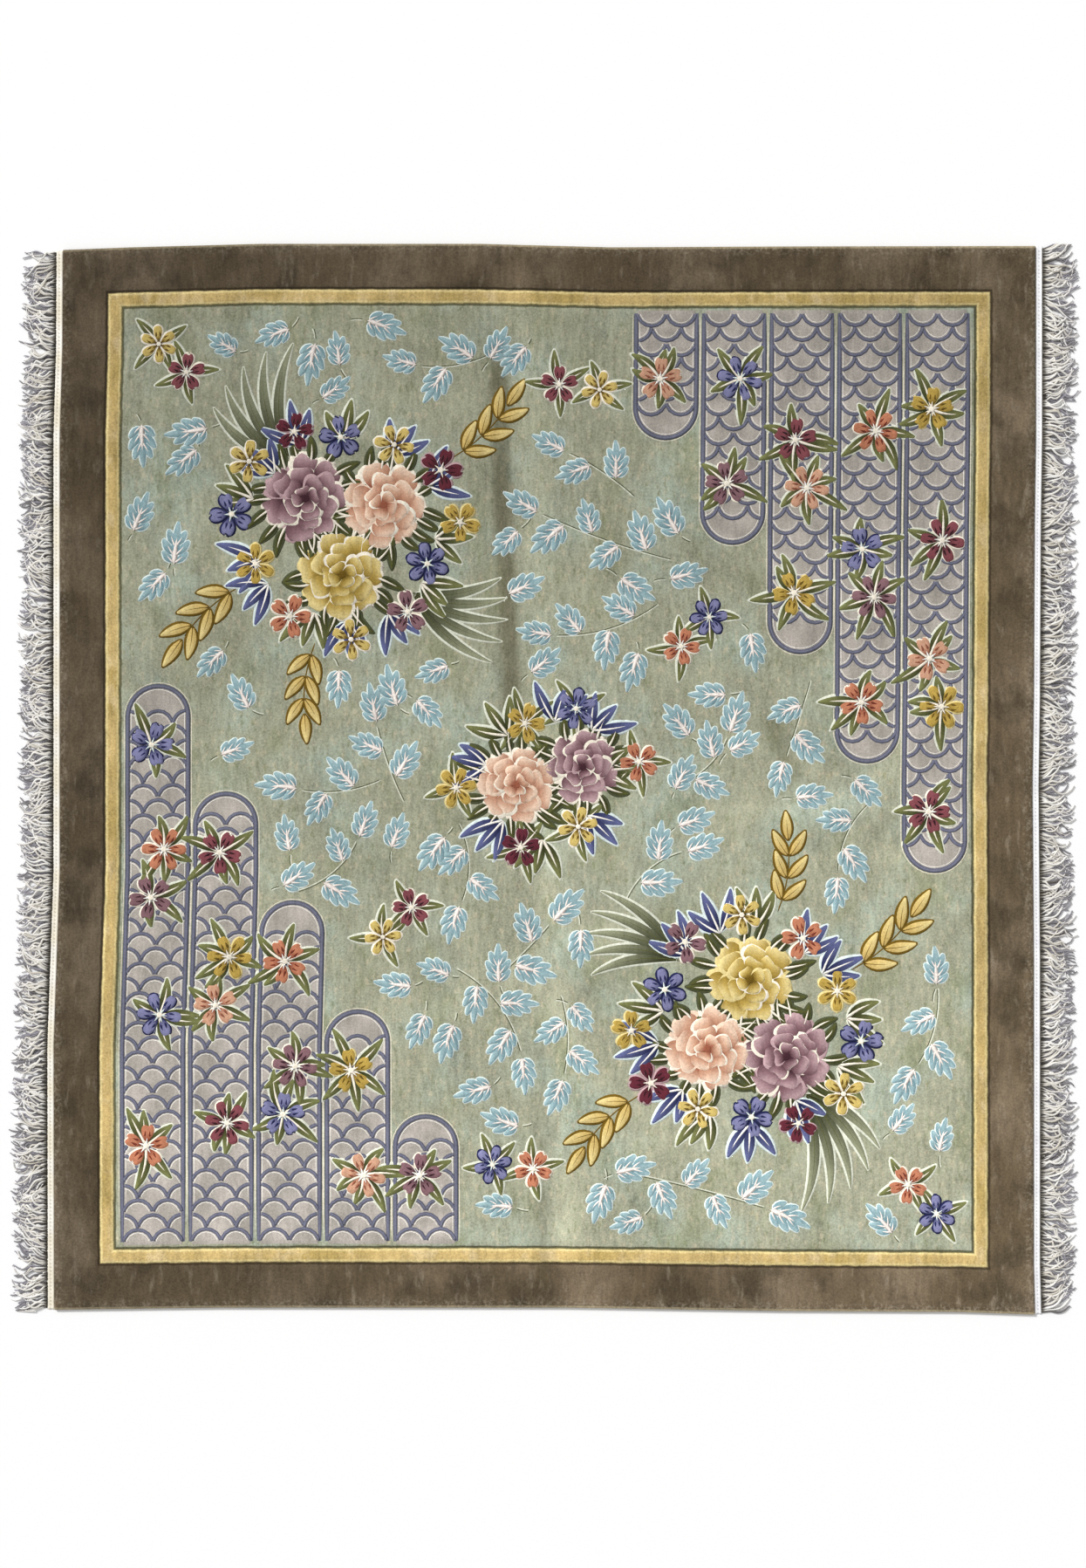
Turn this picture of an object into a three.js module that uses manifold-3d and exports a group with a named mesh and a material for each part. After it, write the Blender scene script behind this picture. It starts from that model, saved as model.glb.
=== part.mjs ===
// Art deco rug: a flat hand-knotted pile rug with a carved design, a cream woven band along
// both ends and a fringe of free yarn ends. Millimetres, +Z up, lying on the plane z = 0.
import * as THREE from "three";
import { mergeVertices } from "three/addons/utils/BufferGeometryUtils.js";
import Module from "manifold-3d";

const wasm = await Module();
wasm.setup();

// Driving sizes of the flat rug
const RUG_WIDTH = 2240; // along X, between the two end bands
const RUG_DEPTH = 2438; // along Y, between the two selvedges
const PILE_HEIGHT = 11; // plain pile above the floor
const RIM_ROUND = 12; // width over which the cut pile rounds off at the rug's edge
const RIM_DROP = 4;
const BORDER = 104; // plain outer border
const GUARD = 34; // guard stripe between the border and the field
const GROOVE_DEPTH = 2.2; // carved line on each side of the guard stripe
const GROOVE_HALF = 6;
const FIELD_STEP = 90; // spacing of the surface's own points over the field

// Carved relief over the plain pile
const PANEL_RELIEF = 1.2;
const BLOSSOM_RELIEF = 1.9;
const ROSE_RELIEF = 2.6;
const LAYER_STEP = 0.15; // keeps the tops of overlapping blooms apart
const RELIEF_ROOT = 5; // raised forms start this high inside the pile
const SLAB_BELOW = 5; // the slab is made this much deeper, then cut level at the floor

// Fringe
const BAND_WIDTH = 17;
const BAND_HEIGHT = 4;
const PIECE_GAP = 0.3; // between the pile and the end band
const LOCKS_PER_END = 116;
const LOCK_WIDTH = 9;
const LOCK_HEIGHT = 3;
const LOCK_ROOT = 5; // how far a lock starts inside the band
const LOCK_ROOT_LIFT = 0.6; // a root leaves the band's outer face this far above the floor
const LOCK_LENGTH = 76; // mean length beyond the band
const LOCK_LENGTH_SPREAD = 6;
const LOCK_STEPS = 4;
const END_MARGIN = 14; // from the band's end to the first lock

// The four edges as the rug lies, a row for each place where an edge changes direction
const TOP_EDGE = [
  { along: -1109, edge: 1214 },
  { along: -953, edge: 1220 },
  { along: -653, edge: 1228 },
  { along: -153, edge: 1228 },
  { along: 147, edge: 1220 },
  { along: 547, edge: 1222 },
  { along: 1122, edge: 1223 },
];
const BOTTOM_EDGE = [
  { along: -1129, edge: -1217 },
  { along: -753, edge: -1212 },
  { along: 47, edge: -1212 },
  { along: 547, edge: -1220 },
  { along: 947, edge: -1222 },
  { along: 1120, edge: -1228 },
];
const LEFT_EDGE = [
  { along: -1217, edge: -1129 },
  { along: -614, edge: -1130 },
  { along: -414, edge: -1123 },
  { along: -214, edge: -1116 },
  { along: 786, edge: -1116 },
  { along: 986, edge: -1110 },
  { along: 1214, edge: -1109 },
];
const RIGHT_EDGE = [
  { along: -1228, edge: 1120 },
  { along: -1114, edge: 1117 },
  { along: -414, edge: 1117 },
  { along: -14, edge: 1114 },
  { along: 186, edge: 1117 },
  { along: 586, edge: 1119 },
  { along: 786, edge: 1122 },
  { along: 1223, edge: 1122 },
];

// Soft creases left by folding, from one end to the other, as low ridges or troughs of the pile
const CREASES = [
  { fromU: -57, fromV: 1219, toU: 57, toV: -1219, rise: 1.6, half: 75 },
  { fromU: -150, fromV: 900, toU: -60, toV: 200, rise: -1.2, half: 70 },
  { fromU: -373, fromV: -594, toU: 227, toV: -334, rise: 1.3, half: 80 },
  { fromU: 547, fromV: -114, toU: 1010, toV: 110, rise: 1.3, half: 80 },
];

// Arched panels of the field: the middle line, the free length, and the edge that they start from
const PANEL_WIDTH = 150;
const PANEL_PITCH = 156;
const FIRST_PANEL_U = 894;
const PANEL_LENGTHS = [1290, 1040, 790, 540, 300];
const PANEL_BLOOMS_FROM_TIP = [140, 380, 490, 760, 1060];
const PANEL_BLOOM_RADIUS = 46;
const PANEL_SWAY = 14; // blooms stand left and right of the panel's middle line in turn
const ARCH_STEPS = 10;

// Blooms of a bouquet, from its middle
const LARGE_BOUQUET = [
  { petals: 9, u: -85, v: 75, radius: 100 },
  { petals: 9, u: 95, v: 60, radius: 98 },
  { petals: 9, u: 0, v: -100, radius: 100 },
  { petals: 5, u: -5, v: 215, radius: 48 },
  { petals: 6, u: 118, v: 198, radius: 46 },
  { petals: 5, u: 225, v: 140, radius: 50 },
  { petals: 5, u: 270, v: 20, radius: 46 },
  { petals: 6, u: 195, v: -75, radius: 48 },
  { petals: 5, u: 150, v: -185, radius: 50 },
  { petals: 6, u: 20, v: -248, radius: 46 },
  { petals: 5, u: -120, v: -195, radius: 50 },
  { petals: 6, u: -200, v: -75, radius: 46 },
  { petals: 5, u: -255, v: 40, radius: 50 },
  { petals: 6, u: -215, v: 160, radius: 48 },
  { petals: 5, u: -112, v: 228, radius: 44 },
];
const SMALL_BOUQUET = [
  { petals: 9, u: -70, v: 15, radius: 90 },
  { petals: 9, u: 85, v: -20, radius: 86 },
  { petals: 5, u: 15, v: 130, radius: 46 },
  { petals: 6, u: 135, v: 105, radius: 46 },
  { petals: 5, u: 205, v: -70, radius: 46 },
  { petals: 6, u: 10, v: -135, radius: 46 },
  { petals: 5, u: -130, v: -115, radius: 46 },
  { petals: 6, u: -195, v: 75, radius: 46 },
];
const SPRIG = [
  { petals: 5, u: -34, v: 10, radius: 44 },
  { petals: 6, u: 52, v: -26, radius: 42 },
];
const BOUQUETS = [
  { blooms: LARGE_BOUQUET, u: -470, v: 560, turn: 0 },
  { blooms: LARGE_BOUQUET, u: 470, v: -560, turn: Math.PI },
  { blooms: SMALL_BOUQUET, u: 0, v: 0, turn: 0.5 },
  { blooms: SPRIG, u: 60, v: 900, turn: 0.3 },
  { blooms: SPRIG, u: -60, v: -900, turn: Math.PI + 0.3 },
  { blooms: SPRIG, u: 330, v: 330, turn: 1.2 },
  { blooms: SPRIG, u: -330, v: -330, turn: Math.PI + 1.2 },
  { blooms: SPRIG, u: 860, v: -950, turn: -0.4 },
  { blooms: SPRIG, u: -860, v: 950, turn: Math.PI - 0.4 },
];

// Where an edge lies, straight between the rows of its table
function edgeAt(rows, along) {
  const next = Math.max(1, rows.findIndex((row) => row.along >= along));
  const last = along > rows[rows.length - 1].along ? rows.length - 1 : next;
  const [a, b] = [rows[last - 1], rows[last]];
  return THREE.MathUtils.lerp(a.edge, b.edge, (along - a.along) / (b.along - a.along));
}

// The place on the floor of a point of the flat rug: its edges are the four tables, and the rest
// of the cloth is spread evenly between them
function lay(u, v) {
  const s = u / RUG_WIDTH + 0.5;
  const t = v / RUG_DEPTH + 0.5;
  const { lerp } = THREE.MathUtils;
  const corner = (rows, last) => rows[last ? rows.length - 1 : 0].along;
  const bottomX = lerp(corner(BOTTOM_EDGE, false), corner(BOTTOM_EDGE, true), s);
  const topX = lerp(corner(TOP_EDGE, false), corner(TOP_EDGE, true), s);
  const leftY = lerp(corner(LEFT_EDGE, false), corner(LEFT_EDGE, true), t);
  const rightY = lerp(corner(RIGHT_EDGE, false), corner(RIGHT_EDGE, true), t);
  const evenX = lerp(bottomX, topX, t);
  const evenY = lerp(leftY, rightY, s);
  const bow = (rows, along) => {
    const first = rows[0];
    const end = rows[rows.length - 1];
    const straight = lerp(first.edge, end.edge, (along - first.along) / (end.along - first.along));
    return edgeAt(rows, along) - straight;
  };
  const x = evenX + lerp(bow(LEFT_EDGE, leftY), bow(RIGHT_EDGE, rightY), s);
  const y = evenY + lerp(bow(BOTTOM_EDGE, bottomX), bow(TOP_EDGE, topX), t);
  return new THREE.Vector2(x, y);
}

// Height that the creases add at a point of the flat rug
function creaseHeight(u, v) {
  let height = 0;
  for (const { fromU, fromV, toU, toV, rise, half } of CREASES) {
    const line = new THREE.Line3(new THREE.Vector3(fromU, fromV), new THREE.Vector3(toU, toV));
    const here = new THREE.Vector3(u, v);
    const away = line.closestPointToPoint(here, true, new THREE.Vector3()).distanceTo(here);
    height += rise * Math.exp(-((away / half) ** 2));
  }
  return height;
}

// Height of the pile's own surface: a rounded rim, the two carved lines and the creases
function pileSurface(u, v) {
  const inward = Math.min(RUG_WIDTH / 2 - Math.abs(u), RUG_DEPTH / 2 - Math.abs(v));
  const rim = Math.max(0, 1 - inward / RIM_ROUND);
  const groove = (at) => Math.max(0, 1 - Math.abs(inward - at) / GROOVE_HALF);
  const carved = GROOVE_DEPTH * Math.max(groove(BORDER), groove(BORDER + GUARD));
  const edgeFade = Math.min(1, inward / BORDER);
  return PILE_HEIGHT - RIM_DROP * rim * rim - carved + edgeFade * creaseHeight(u, v);
}

// Places across the rug where the surface needs a row of points
function stations(size) {
  const groove = (at) => [at - GROOVE_HALF, at, at + GROOVE_HALF];
  const rim = [0, RIM_ROUND / 3, RIM_ROUND];
  const fromEdge = [...rim, ...groove(BORDER), ...groove(BORDER + GUARD)];
  const fieldHalf = size / 2 - fromEdge[fromEdge.length - 1];
  const steps = Math.round((2 * fieldHalf) / FIELD_STEP);
  const field = Array.from({ length: steps - 1 }, (_, i) => fieldHalf * ((2 * (i + 1)) / steps - 1));
  const low = fromEdge.map((inward) => inward - size / 2);
  const high = fromEdge.map((inward) => size / 2 - inward).reverse();
  return [...low, ...field, ...high];
}

// A geometry as a solid that can be joined to others
function solidOf(geometry) {
  const bare = geometry.index ? geometry.toNonIndexed() : geometry.clone();
  bare.deleteAttribute("normal");
  bare.deleteAttribute("uv");
  const merged = mergeVertices(bare, 1e-3);
  return new wasm.Manifold(
    new wasm.Mesh({
      numProp: 3,
      vertProperties: merged.attributes.position.array,
      triVerts: new Uint32Array(merged.index.array),
    }),
  );
}

// Several geometries joined into one solid
function joined(geometries) {
  return wasm.Manifold.union(geometries.map(solidOf));
}

// A solid as a geometry again
function geometryOf(solid) {
  const mesh = solid.getMesh();
  return new THREE.BufferGeometry()
    .setAttribute("position", new THREE.BufferAttribute(mesh.vertProperties, 3))
    .setIndex(new THREE.BufferAttribute(mesh.triVerts, 1))
    .toNonIndexed();
}

// The pile: a closed slab, level below, whose upper points follow pileSurface
function pileSlab() {
  const across = stations(RUG_WIDTH);
  const along = stations(RUG_DEPTH);
  const slab = new THREE.BoxGeometry(1, 1, 1, across.length - 1, along.length - 1, 1);
  const place = slab.attributes.position;
  const column = (x) => across[Math.round((x + 0.5) * (across.length - 1))];
  const row = (y) => along[Math.round((y + 0.5) * (along.length - 1))];
  for (let i = 0; i < place.count; i++) {
    const u = column(place.getX(i));
    const v = row(place.getY(i));
    const at = lay(u, v);
    place.setXYZ(i, at.x, at.y, place.getZ(i) > 0 ? pileSurface(u, v) : -SLAB_BELOW);
  }
  return slab;
}

// The whole pile with its carved forms, cut level at the floor
function carvedPile() {
  const room = new THREE.BoxGeometry(2 * RUG_WIDTH, 2 * RUG_DEPTH, RUG_WIDTH);
  const aboveFloor = solidOf(room.translate(0, 0, RUG_WIDTH / 2));
  const pile = joined([pileSlab(), ...panelForms(), ...bouquetForms()]);
  return geometryOf(pile.intersect(aboveFloor));
}

// A carved form: an outline in flat rug sizes, raised over the pile by relief
function raised(outline, relief) {
  const form = new THREE.ExtrudeGeometry(new THREE.Shape(outline), { depth: 1, bevelEnabled: false });
  const place = form.attributes.position;
  for (let i = 0; i < place.count; i++) {
    const u = place.getX(i);
    const v = place.getY(i);
    const at = lay(u, v);
    const top = place.getZ(i) > 0.5;
    place.setXYZ(i, at.x, at.y, top ? pileSurface(u, v) + relief : RELIEF_ROOT);
  }
  return form;
}

// A panel with a round arch at its free end. Way is -1 for one that hangs from the top edge of the
// field, and 1 for one that rises from the bottom edge.
function panelOutline(middle, length, way) {
  const start = way * (BORDER + GUARD + GROOVE_HALF - RUG_DEPTH / 2);
  const half = PANEL_WIDTH / 2;
  const shoulder = start + way * (length - half);
  const arch = Array.from({ length: ARCH_STEPS + 1 }, (_, i) => {
    const angle = (Math.PI * i) / ARCH_STEPS;
    return new THREE.Vector2(middle + half * Math.cos(angle), shoulder + way * half * Math.sin(angle));
  });
  return [new THREE.Vector2(middle + half, start), ...arch, new THREE.Vector2(middle - half, start)];
}

// A bloom seen from above: rounded petals between short notches
function bloomOutline({ petals, u, v, radius }, turn) {
  const notch = petals > 6 ? 0.86 : 0.5;
  return Array.from({ length: petals * 2 }, (_, i) => {
    const angle = turn + (Math.PI * i) / petals;
    const reach = i % 2 ? radius * notch : radius;
    return new THREE.Vector2(u + reach * Math.cos(angle), v + reach * Math.sin(angle));
  });
}

// Panels of both groups, each with its own blooms
function panelForms() {
  const forms = [];
  for (const way of [-1, 1]) {
    PANEL_LENGTHS.forEach((length, column) => {
      const middle = -way * (FIRST_PANEL_U - column * PANEL_PITCH);
      forms.push(raised(panelOutline(middle, length, way), PANEL_RELIEF));
      const tip = way * (length + BORDER + GUARD + GROOVE_HALF - RUG_DEPTH / 2);
      PANEL_BLOOMS_FROM_TIP.filter((back) => back < length - PANEL_WIDTH / 2).forEach((back, i) => {
        const bloom = {
          petals: 5 + (i % 2),
          u: middle + (i % 2 ? PANEL_SWAY : -PANEL_SWAY),
          v: tip - way * back,
          radius: PANEL_BLOOM_RADIUS,
        };
        forms.push(raised(bloomOutline(bloom, column + i), BLOSSOM_RELIEF + LAYER_STEP * (i % 3)));
      });
    });
  }
  return forms;
}

// Every bouquet's blooms, turned about the bouquet's middle
function bouquetForms() {
  return BOUQUETS.flatMap(({ blooms, u, v, turn }) =>
    blooms.map((bloom, i) => {
      const middle = new THREE.Vector2(bloom.u, bloom.v).rotateAround(new THREE.Vector2(), turn);
      const placed = { ...bloom, u: u + middle.x, v: v + middle.y };
      const relief = bloom.petals > 6 ? ROSE_RELIEF : BLOSSOM_RELIEF;
      return raised(bloomOutline(placed, turn + i), relief + LAYER_STEP * (i % 4));
    }),
  );
}

// One end of the rug: the woven band along the pile's edge with its yarn locks. Side is -1 at the
// left end and 1 at the right end.
function fringedEnd(side) {
  const edge = stations(RUG_DEPTH).map((v) => lay((side * RUG_WIDTH) / 2, v));
  const inner = edge.map((at) => new THREE.Vector2(at.x + side * PIECE_GAP, at.y));
  const outer = edge.map((at) => new THREE.Vector2(at.x + side * (PIECE_GAP + BAND_WIDTH), at.y));
  const outline = new THREE.Shape([...inner, ...outer.reverse()]);
  const band = new THREE.ExtrudeGeometry(outline, { depth: BAND_HEIGHT, bevelEnabled: false });
  const locks = Array.from({ length: LOCKS_PER_END }, (_, i) => yarnLock(side, i));
  return geometryOf(joined([band, ...locks]));
}

// How far a lock has drifted along the rug's edge after a share of its length. Neighbours drift
// alike, so they sweep together and never cross.
function lockDrift(y, share) {
  const sweep = 13 * Math.sin(0.0131 * y + 1.3) + 6 * Math.sin(0.031 * y);
  const curl = 4 * Math.sin(7 * share + 0.02 * y);
  return share * (sweep + curl);
}

// A lock of yarn lying level on the floor, three-sided with its flat side down. Only its root, in
// the band, is a little off the floor.
function yarnLock(side, index) {
  const span = RUG_DEPTH - 2 * END_MARGIN;
  const root = lay((side * RUG_WIDTH) / 2, span * (index / (LOCKS_PER_END - 1) - 0.5));
  const start = root.x + side * (PIECE_GAP + BAND_WIDTH - LOCK_ROOT);
  const length = LOCK_ROOT + LOCK_LENGTH + LOCK_LENGTH_SPREAD * Math.sin(2.4 * index);
  const route = Array.from({ length: LOCK_STEPS + 1 }, (_, i) => {
    const share = i / LOCK_STEPS;
    return new THREE.Vector3(start + side * length * share, root.y + lockDrift(root.y, share), 0);
  });
  // Along a level route the section's first axis points down, so heights are negative in it
  const section = new THREE.Shape([
    new THREE.Vector2(0, -LOCK_WIDTH / 2),
    new THREE.Vector2(0, LOCK_WIDTH / 2),
    new THREE.Vector2(-LOCK_HEIGHT, 0),
  ]);
  const lock = new THREE.ExtrudeGeometry(section, {
    steps: LOCK_STEPS,
    extrudePath: new THREE.CatmullRomCurve3(route),
    bevelEnabled: false,
  });
  const place = lock.attributes.position;
  for (let i = 0; i < place.count; i++) {
    const inBand = Math.abs(place.getX(i) - root.x) < PIECE_GAP + BAND_WIDTH;
    place.setZ(i, Math.max(0, place.getZ(i)) + (inBand ? LOCK_ROOT_LIFT : 0));
  }
  return lock;
}

function piece(name, geometry, material) {
  const mesh = new THREE.Mesh(geometry, material);
  mesh.name = name;
  return mesh;
}

const pileYarn = new THREE.MeshStandardMaterial({ color: 0x9a9c82, roughness: 0.9, metalness: 0 });
const fringeYarn = new THREE.MeshStandardMaterial({ color: 0xe5dfd3, roughness: 0.85, metalness: 0 });

const rug = new THREE.Group();
rug.add(piece("rug_pile", carvedPile(), pileYarn));
rug.add(piece("fringe_left", fringedEnd(-1), fringeYarn));
rug.add(piece("fringe_right", fringedEnd(1), fringeYarn));

// The origin is under the middle of the whole rug
const middle = new THREE.Box3().setFromObject(rug).getCenter(new THREE.Vector3());
rug.children.forEach((mesh) => mesh.position.set(-middle.x, -middle.y, 0));

export default rug;
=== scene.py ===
# %% [markdown]
# # An art deco rug, carved and fringed
# This lesson dresses a flat hand-knotted rug: a plain brown border, a gold guard stripe, a sage
# field with carved flowers, leaves and arched panels, and a cream band with a yarn fringe at each
# end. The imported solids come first, because they fix where everything lies.

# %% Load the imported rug
import math

import bmesh
import bpy
import numpy as np
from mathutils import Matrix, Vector
from mathutils.kdtree import KDTree


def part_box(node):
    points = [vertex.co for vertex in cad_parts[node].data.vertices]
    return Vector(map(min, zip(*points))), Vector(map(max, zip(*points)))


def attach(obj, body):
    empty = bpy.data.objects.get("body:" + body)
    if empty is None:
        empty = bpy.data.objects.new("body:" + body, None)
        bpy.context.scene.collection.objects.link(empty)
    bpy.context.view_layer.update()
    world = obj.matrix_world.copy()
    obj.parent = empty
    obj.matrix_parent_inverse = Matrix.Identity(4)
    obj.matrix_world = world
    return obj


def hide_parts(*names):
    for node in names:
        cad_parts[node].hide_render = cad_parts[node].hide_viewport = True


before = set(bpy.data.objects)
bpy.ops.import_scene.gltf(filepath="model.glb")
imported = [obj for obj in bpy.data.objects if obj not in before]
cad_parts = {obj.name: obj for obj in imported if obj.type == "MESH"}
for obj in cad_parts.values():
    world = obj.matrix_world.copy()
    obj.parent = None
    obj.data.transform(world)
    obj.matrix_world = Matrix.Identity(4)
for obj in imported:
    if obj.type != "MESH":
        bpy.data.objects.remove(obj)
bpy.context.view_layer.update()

# %% [markdown]
# The design is drawn flat, in millimetres from the rug's middle, the way a weaver's chart is. The
# real rug lies a little crooked, so a chart point is then carried to its place on the floor. Each
# edge is a short table of where it lies, and everything between is spread evenly. Doing this once,
# in one function, keeps pile, carving and fringe together.

# %% Sizes of the flat rug
MM = 0.001
RUG_WIDTH, RUG_DEPTH = 2240.0, 2438.0
PILE_HEIGHT = 11.0
FOUNDATION = 1.6
RIM_ROUND, RIM_DROP = 12.0, 4.0
BORDER, GUARD = 104.0, 34.0
GROOVE_DEPTH, GROOVE_HALF = 2.4, 6.0
FIELD_HALF_U = RUG_WIDTH / 2 - BORDER - GUARD - GROOVE_HALF
FIELD_HALF_V = RUG_DEPTH / 2 - BORDER - GUARD - GROOVE_HALF

# Each row is a place along the edge, and where the edge lies there
TOP_EDGE = np.array([
    (-1109, 1214), (-953, 1220), (-653, 1228), (-153, 1228), (147, 1220), (547, 1222), (1122, 1223),
], float)
BOTTOM_EDGE = np.array([
    (-1129, -1217), (-753, -1212), (47, -1212), (547, -1220), (947, -1222), (1120, -1228),
], float)
LEFT_EDGE = np.array([
    (-1217, -1129), (-614, -1130), (-414, -1123), (-214, -1116),
    (786, -1116), (986, -1110), (1214, -1109),
], float)
RIGHT_EDGE = np.array([
    (-1228, 1120), (-1114, 1117), (-414, 1117), (-14, 1114),
    (186, 1117), (586, 1119), (786, 1122), (1223, 1122),
], float)

TABLE_LOW = Vector((LEFT_EDGE[:, 1].min() * MM, BOTTOM_EDGE[:, 1].min() * MM, 0))
CHART_ORIGIN = Vector(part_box("rug_pile")[0]) - TABLE_LOW
print("the chart's middle lies at", tuple(round(x, 4) for x in CHART_ORIGIN))


# %% From the flat chart to the floor
def between(a, b, share):
    return a + (b - a) * share


def bow(edge, along):
    """How far an edge strays from the straight line between its two ends."""
    straight = np.interp(along, edge[[0, -1], 0], edge[[0, -1], 1])
    return np.interp(along, edge[:, 0], edge[:, 1]) - straight


def lay_out(u, v):
    """Place on the floor, in millimetres, of points of the flat chart."""
    s, t = u / RUG_WIDTH + 0.5, v / RUG_DEPTH + 0.5
    bottom_x = between(BOTTOM_EDGE[0, 0], BOTTOM_EDGE[-1, 0], s)
    top_x = between(TOP_EDGE[0, 0], TOP_EDGE[-1, 0], s)
    left_y = between(LEFT_EDGE[0, 0], LEFT_EDGE[-1, 0], t)
    right_y = between(RIGHT_EDGE[0, 0], RIGHT_EDGE[-1, 0], t)
    x = between(bottom_x, top_x, t) + between(bow(LEFT_EDGE, left_y), bow(RIGHT_EDGE, right_y), s)
    y = between(left_y, right_y, s) + between(bow(BOTTOM_EDGE, bottom_x), bow(TOP_EDGE, top_x), t)
    return x, y


print("top left corner lies at", [round(float(c), 1) for c in lay_out(-RUG_WIDTH / 2, RUG_DEPTH / 2)])

# %% [markdown]
# A rug that was kept folded shows soft creases when it is laid out. Painted alone they would vanish
# from the side, so they are real ridges and troughs of a millimetre or two, each a line with a
# bell-shaped section; the ground's finish adds painted shade in the troughs and painted light on the
# ridges. The same function holds the rounded rim and the carved line on both sides of the guard stripe.

# %% Height of the pile
# from u, from v, to u, to v, rise, half width
CREASES = np.array([
    (-57, 1219, -20, 420, 1.3, 34), (-20, 420, 57, -1219, 1.5, 34),
    (-118, 1000, -72, 10, -1.6, 26), (8, -560, 2, -1219, -1.0, 30),
    (-373, -594, 227, -334, 1.1, 42), (547, -114, 1010, 110, 1.1, 40),
    (380, -74, 1119, -64, 0.8, 16), (420, -190, 1119, -176, 0.7, 16), (520, 150, 570, -20, -0.9, 40),
])


def crease_height(u, v):
    height = np.zeros_like(u)
    for from_u, from_v, to_u, to_v, rise, half in CREASES:
        run = np.array([to_u - from_u, to_v - from_v])
        share = ((u - from_u) * run[0] + (v - from_v) * run[1]) / (run @ run)
        share = np.clip(share, 0, 1)
        away = np.hypot(u - from_u - share * run[0], v - from_v - share * run[1])
        fade = np.clip(np.minimum(share, 1 - share) * 6 + 0.35, 0, 1)
        height += rise * fade * np.exp(-((away / half) ** 2))
    return height


def from_rug_edge(u, v):
    return np.minimum(RUG_WIDTH / 2 - np.abs(u), RUG_DEPTH / 2 - np.abs(v))


def pile_height(u, v):
    inward = from_rug_edge(u, v)
    rim = np.clip(1 - inward / RIM_ROUND, 0, 1)
    groove = np.zeros_like(u)
    for line in (BORDER, BORDER + GUARD):
        groove = np.maximum(groove, np.clip(1 - np.abs(inward - line) / GROOVE_HALF, 0, 1))
    uneven = 0.5 * np.sin(u / 171 + 0.4) * np.sin(v / 203 + 1.1) + 0.3 * np.sin(u / 67 + v / 91)
    calm = np.clip(inward / 60, 0, 1)
    return PILE_HEIGHT - RIM_DROP * rim**2 - GROOVE_DEPTH * groove + calm * (crease_height(u, v) + uneven)


print("pile height in the middle:", round(float(pile_height(np.zeros(1), np.zeros(1))[0]), 2), "mm")

# %% [markdown]
# A finish in Blender is a small graph of nodes. Written node by node it soon hides the idea, so one
# class wraps an output socket and lets sums be written as Python: `1 - mask` adds a Math node. Any
# other node comes from its `node` method.


# %% Sums on sockets
class Strand:
    """One output socket of a material. Sums on it add Math nodes to the material."""

    def __init__(self, tree, output):
        self.tree, self.output = tree, output

    def node(self, kind, settings=None, sockets=None, output=0):
        made = self.tree.nodes.new(kind)
        for name, value in (settings or {}).items():
            setattr(made, name, value)
        for name, value in (sockets or {}).items():
            if isinstance(value, Strand):
                self.tree.links.new(value.output, made.inputs[name])
            else:
                made.inputs[name].default_value = value
        return Strand(self.tree, made.outputs[output])

    def sum(self, operation, a, b=0.0):
        return self.node("ShaderNodeMath", {"operation": operation}, {0: a, 1: b})

    def __add__(self, other):
        return self.sum("ADD", self, other)

    def __radd__(self, other):
        return self.sum("ADD", other, self)

    def __sub__(self, other):
        return self.sum("SUBTRACT", self, other)

    def __rsub__(self, other):
        return self.sum("SUBTRACT", other, self)

    def __mul__(self, other):
        return self.sum("MULTIPLY", self, other)

    def __truediv__(self, other):
        return self.sum("DIVIDE", self, other)

    def __abs__(self):
        return self.sum("ABSOLUTE", self)

    def least(self, other):
        return self.sum("MINIMUM", self, other)

    def step(self, low, high):
        """0 below low, 1 above high and a smooth way between. It falls where low is over high."""
        settings = {"interpolation_type": "SMOOTHSTEP"}
        if low < high:
            return self.node("ShaderNodeMapRange", settings, {0: self, 1: low, 2: high, 3: 0.0, 4: 1.0})
        return self.node("ShaderNodeMapRange", settings, {0: self, 1: high, 2: low, 3: 1.0, 4: 0.0})

    def part(self, axis):
        return self.node("ShaderNodeSeparateXYZ", None, {0: self}, axis)

    def noise(self, scale, detail=3.0, stretch=(1, 1, 1), roughness=0.55):
        """Noise around 0.5 on this vector. Scale is in waves to a metre."""
        if stretch == (1, 1, 1):
            place = self
        else:
            place = self.node("ShaderNodeVectorMath", {"operation": "MULTIPLY"}, {0: self, 1: stretch})
        inputs = {"Vector": place, "Scale": scale, "Detail": detail, "Roughness": roughness}
        return self.node("ShaderNodeTexNoise", None, inputs)

    def mixed(self, other, share, blend="MIX"):
        """This colour with a share of another one. The share may be a socket or a number."""
        settings = {"data_type": "RGBA", "blend_type": blend}
        return self.node("ShaderNodeMix", settings, {0: share, 6: self, 7: other}, 2)

    def shaded(self, amount):
        """This colour made lighter or darker by a factor."""
        grey = self.node("ShaderNodeCombineColor", None, {0: amount, 1: amount, 2: amount})
        return self.mixed(grey, 1.0, "MULTIPLY")


def start_material(name):
    """A new material, its Object coordinates and its surface shader."""
    material = bpy.data.materials.new(name)
    material.use_nodes = True
    tree = material.node_tree
    coordinates = tree.nodes.new("ShaderNodeTexCoord")
    return material, Strand(tree, coordinates.outputs["Object"]), tree.nodes["Principled BSDF"]


def dyed(code):
    """A colour named as on a dye card, six hexadecimal digits, in linear light."""
    srgb = np.array([int(code[i:i + 2], 16) / 255 for i in (0, 2, 4)])
    return np.where(srgb <= 0.04045, srgb / 12.92, ((srgb + 0.055) / 1.055) ** 2.4)


def colour(code):
    return (*dyed(code), 1.0)


print("a sage dye in linear light:", dyed("A0A285").round(3))
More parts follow.
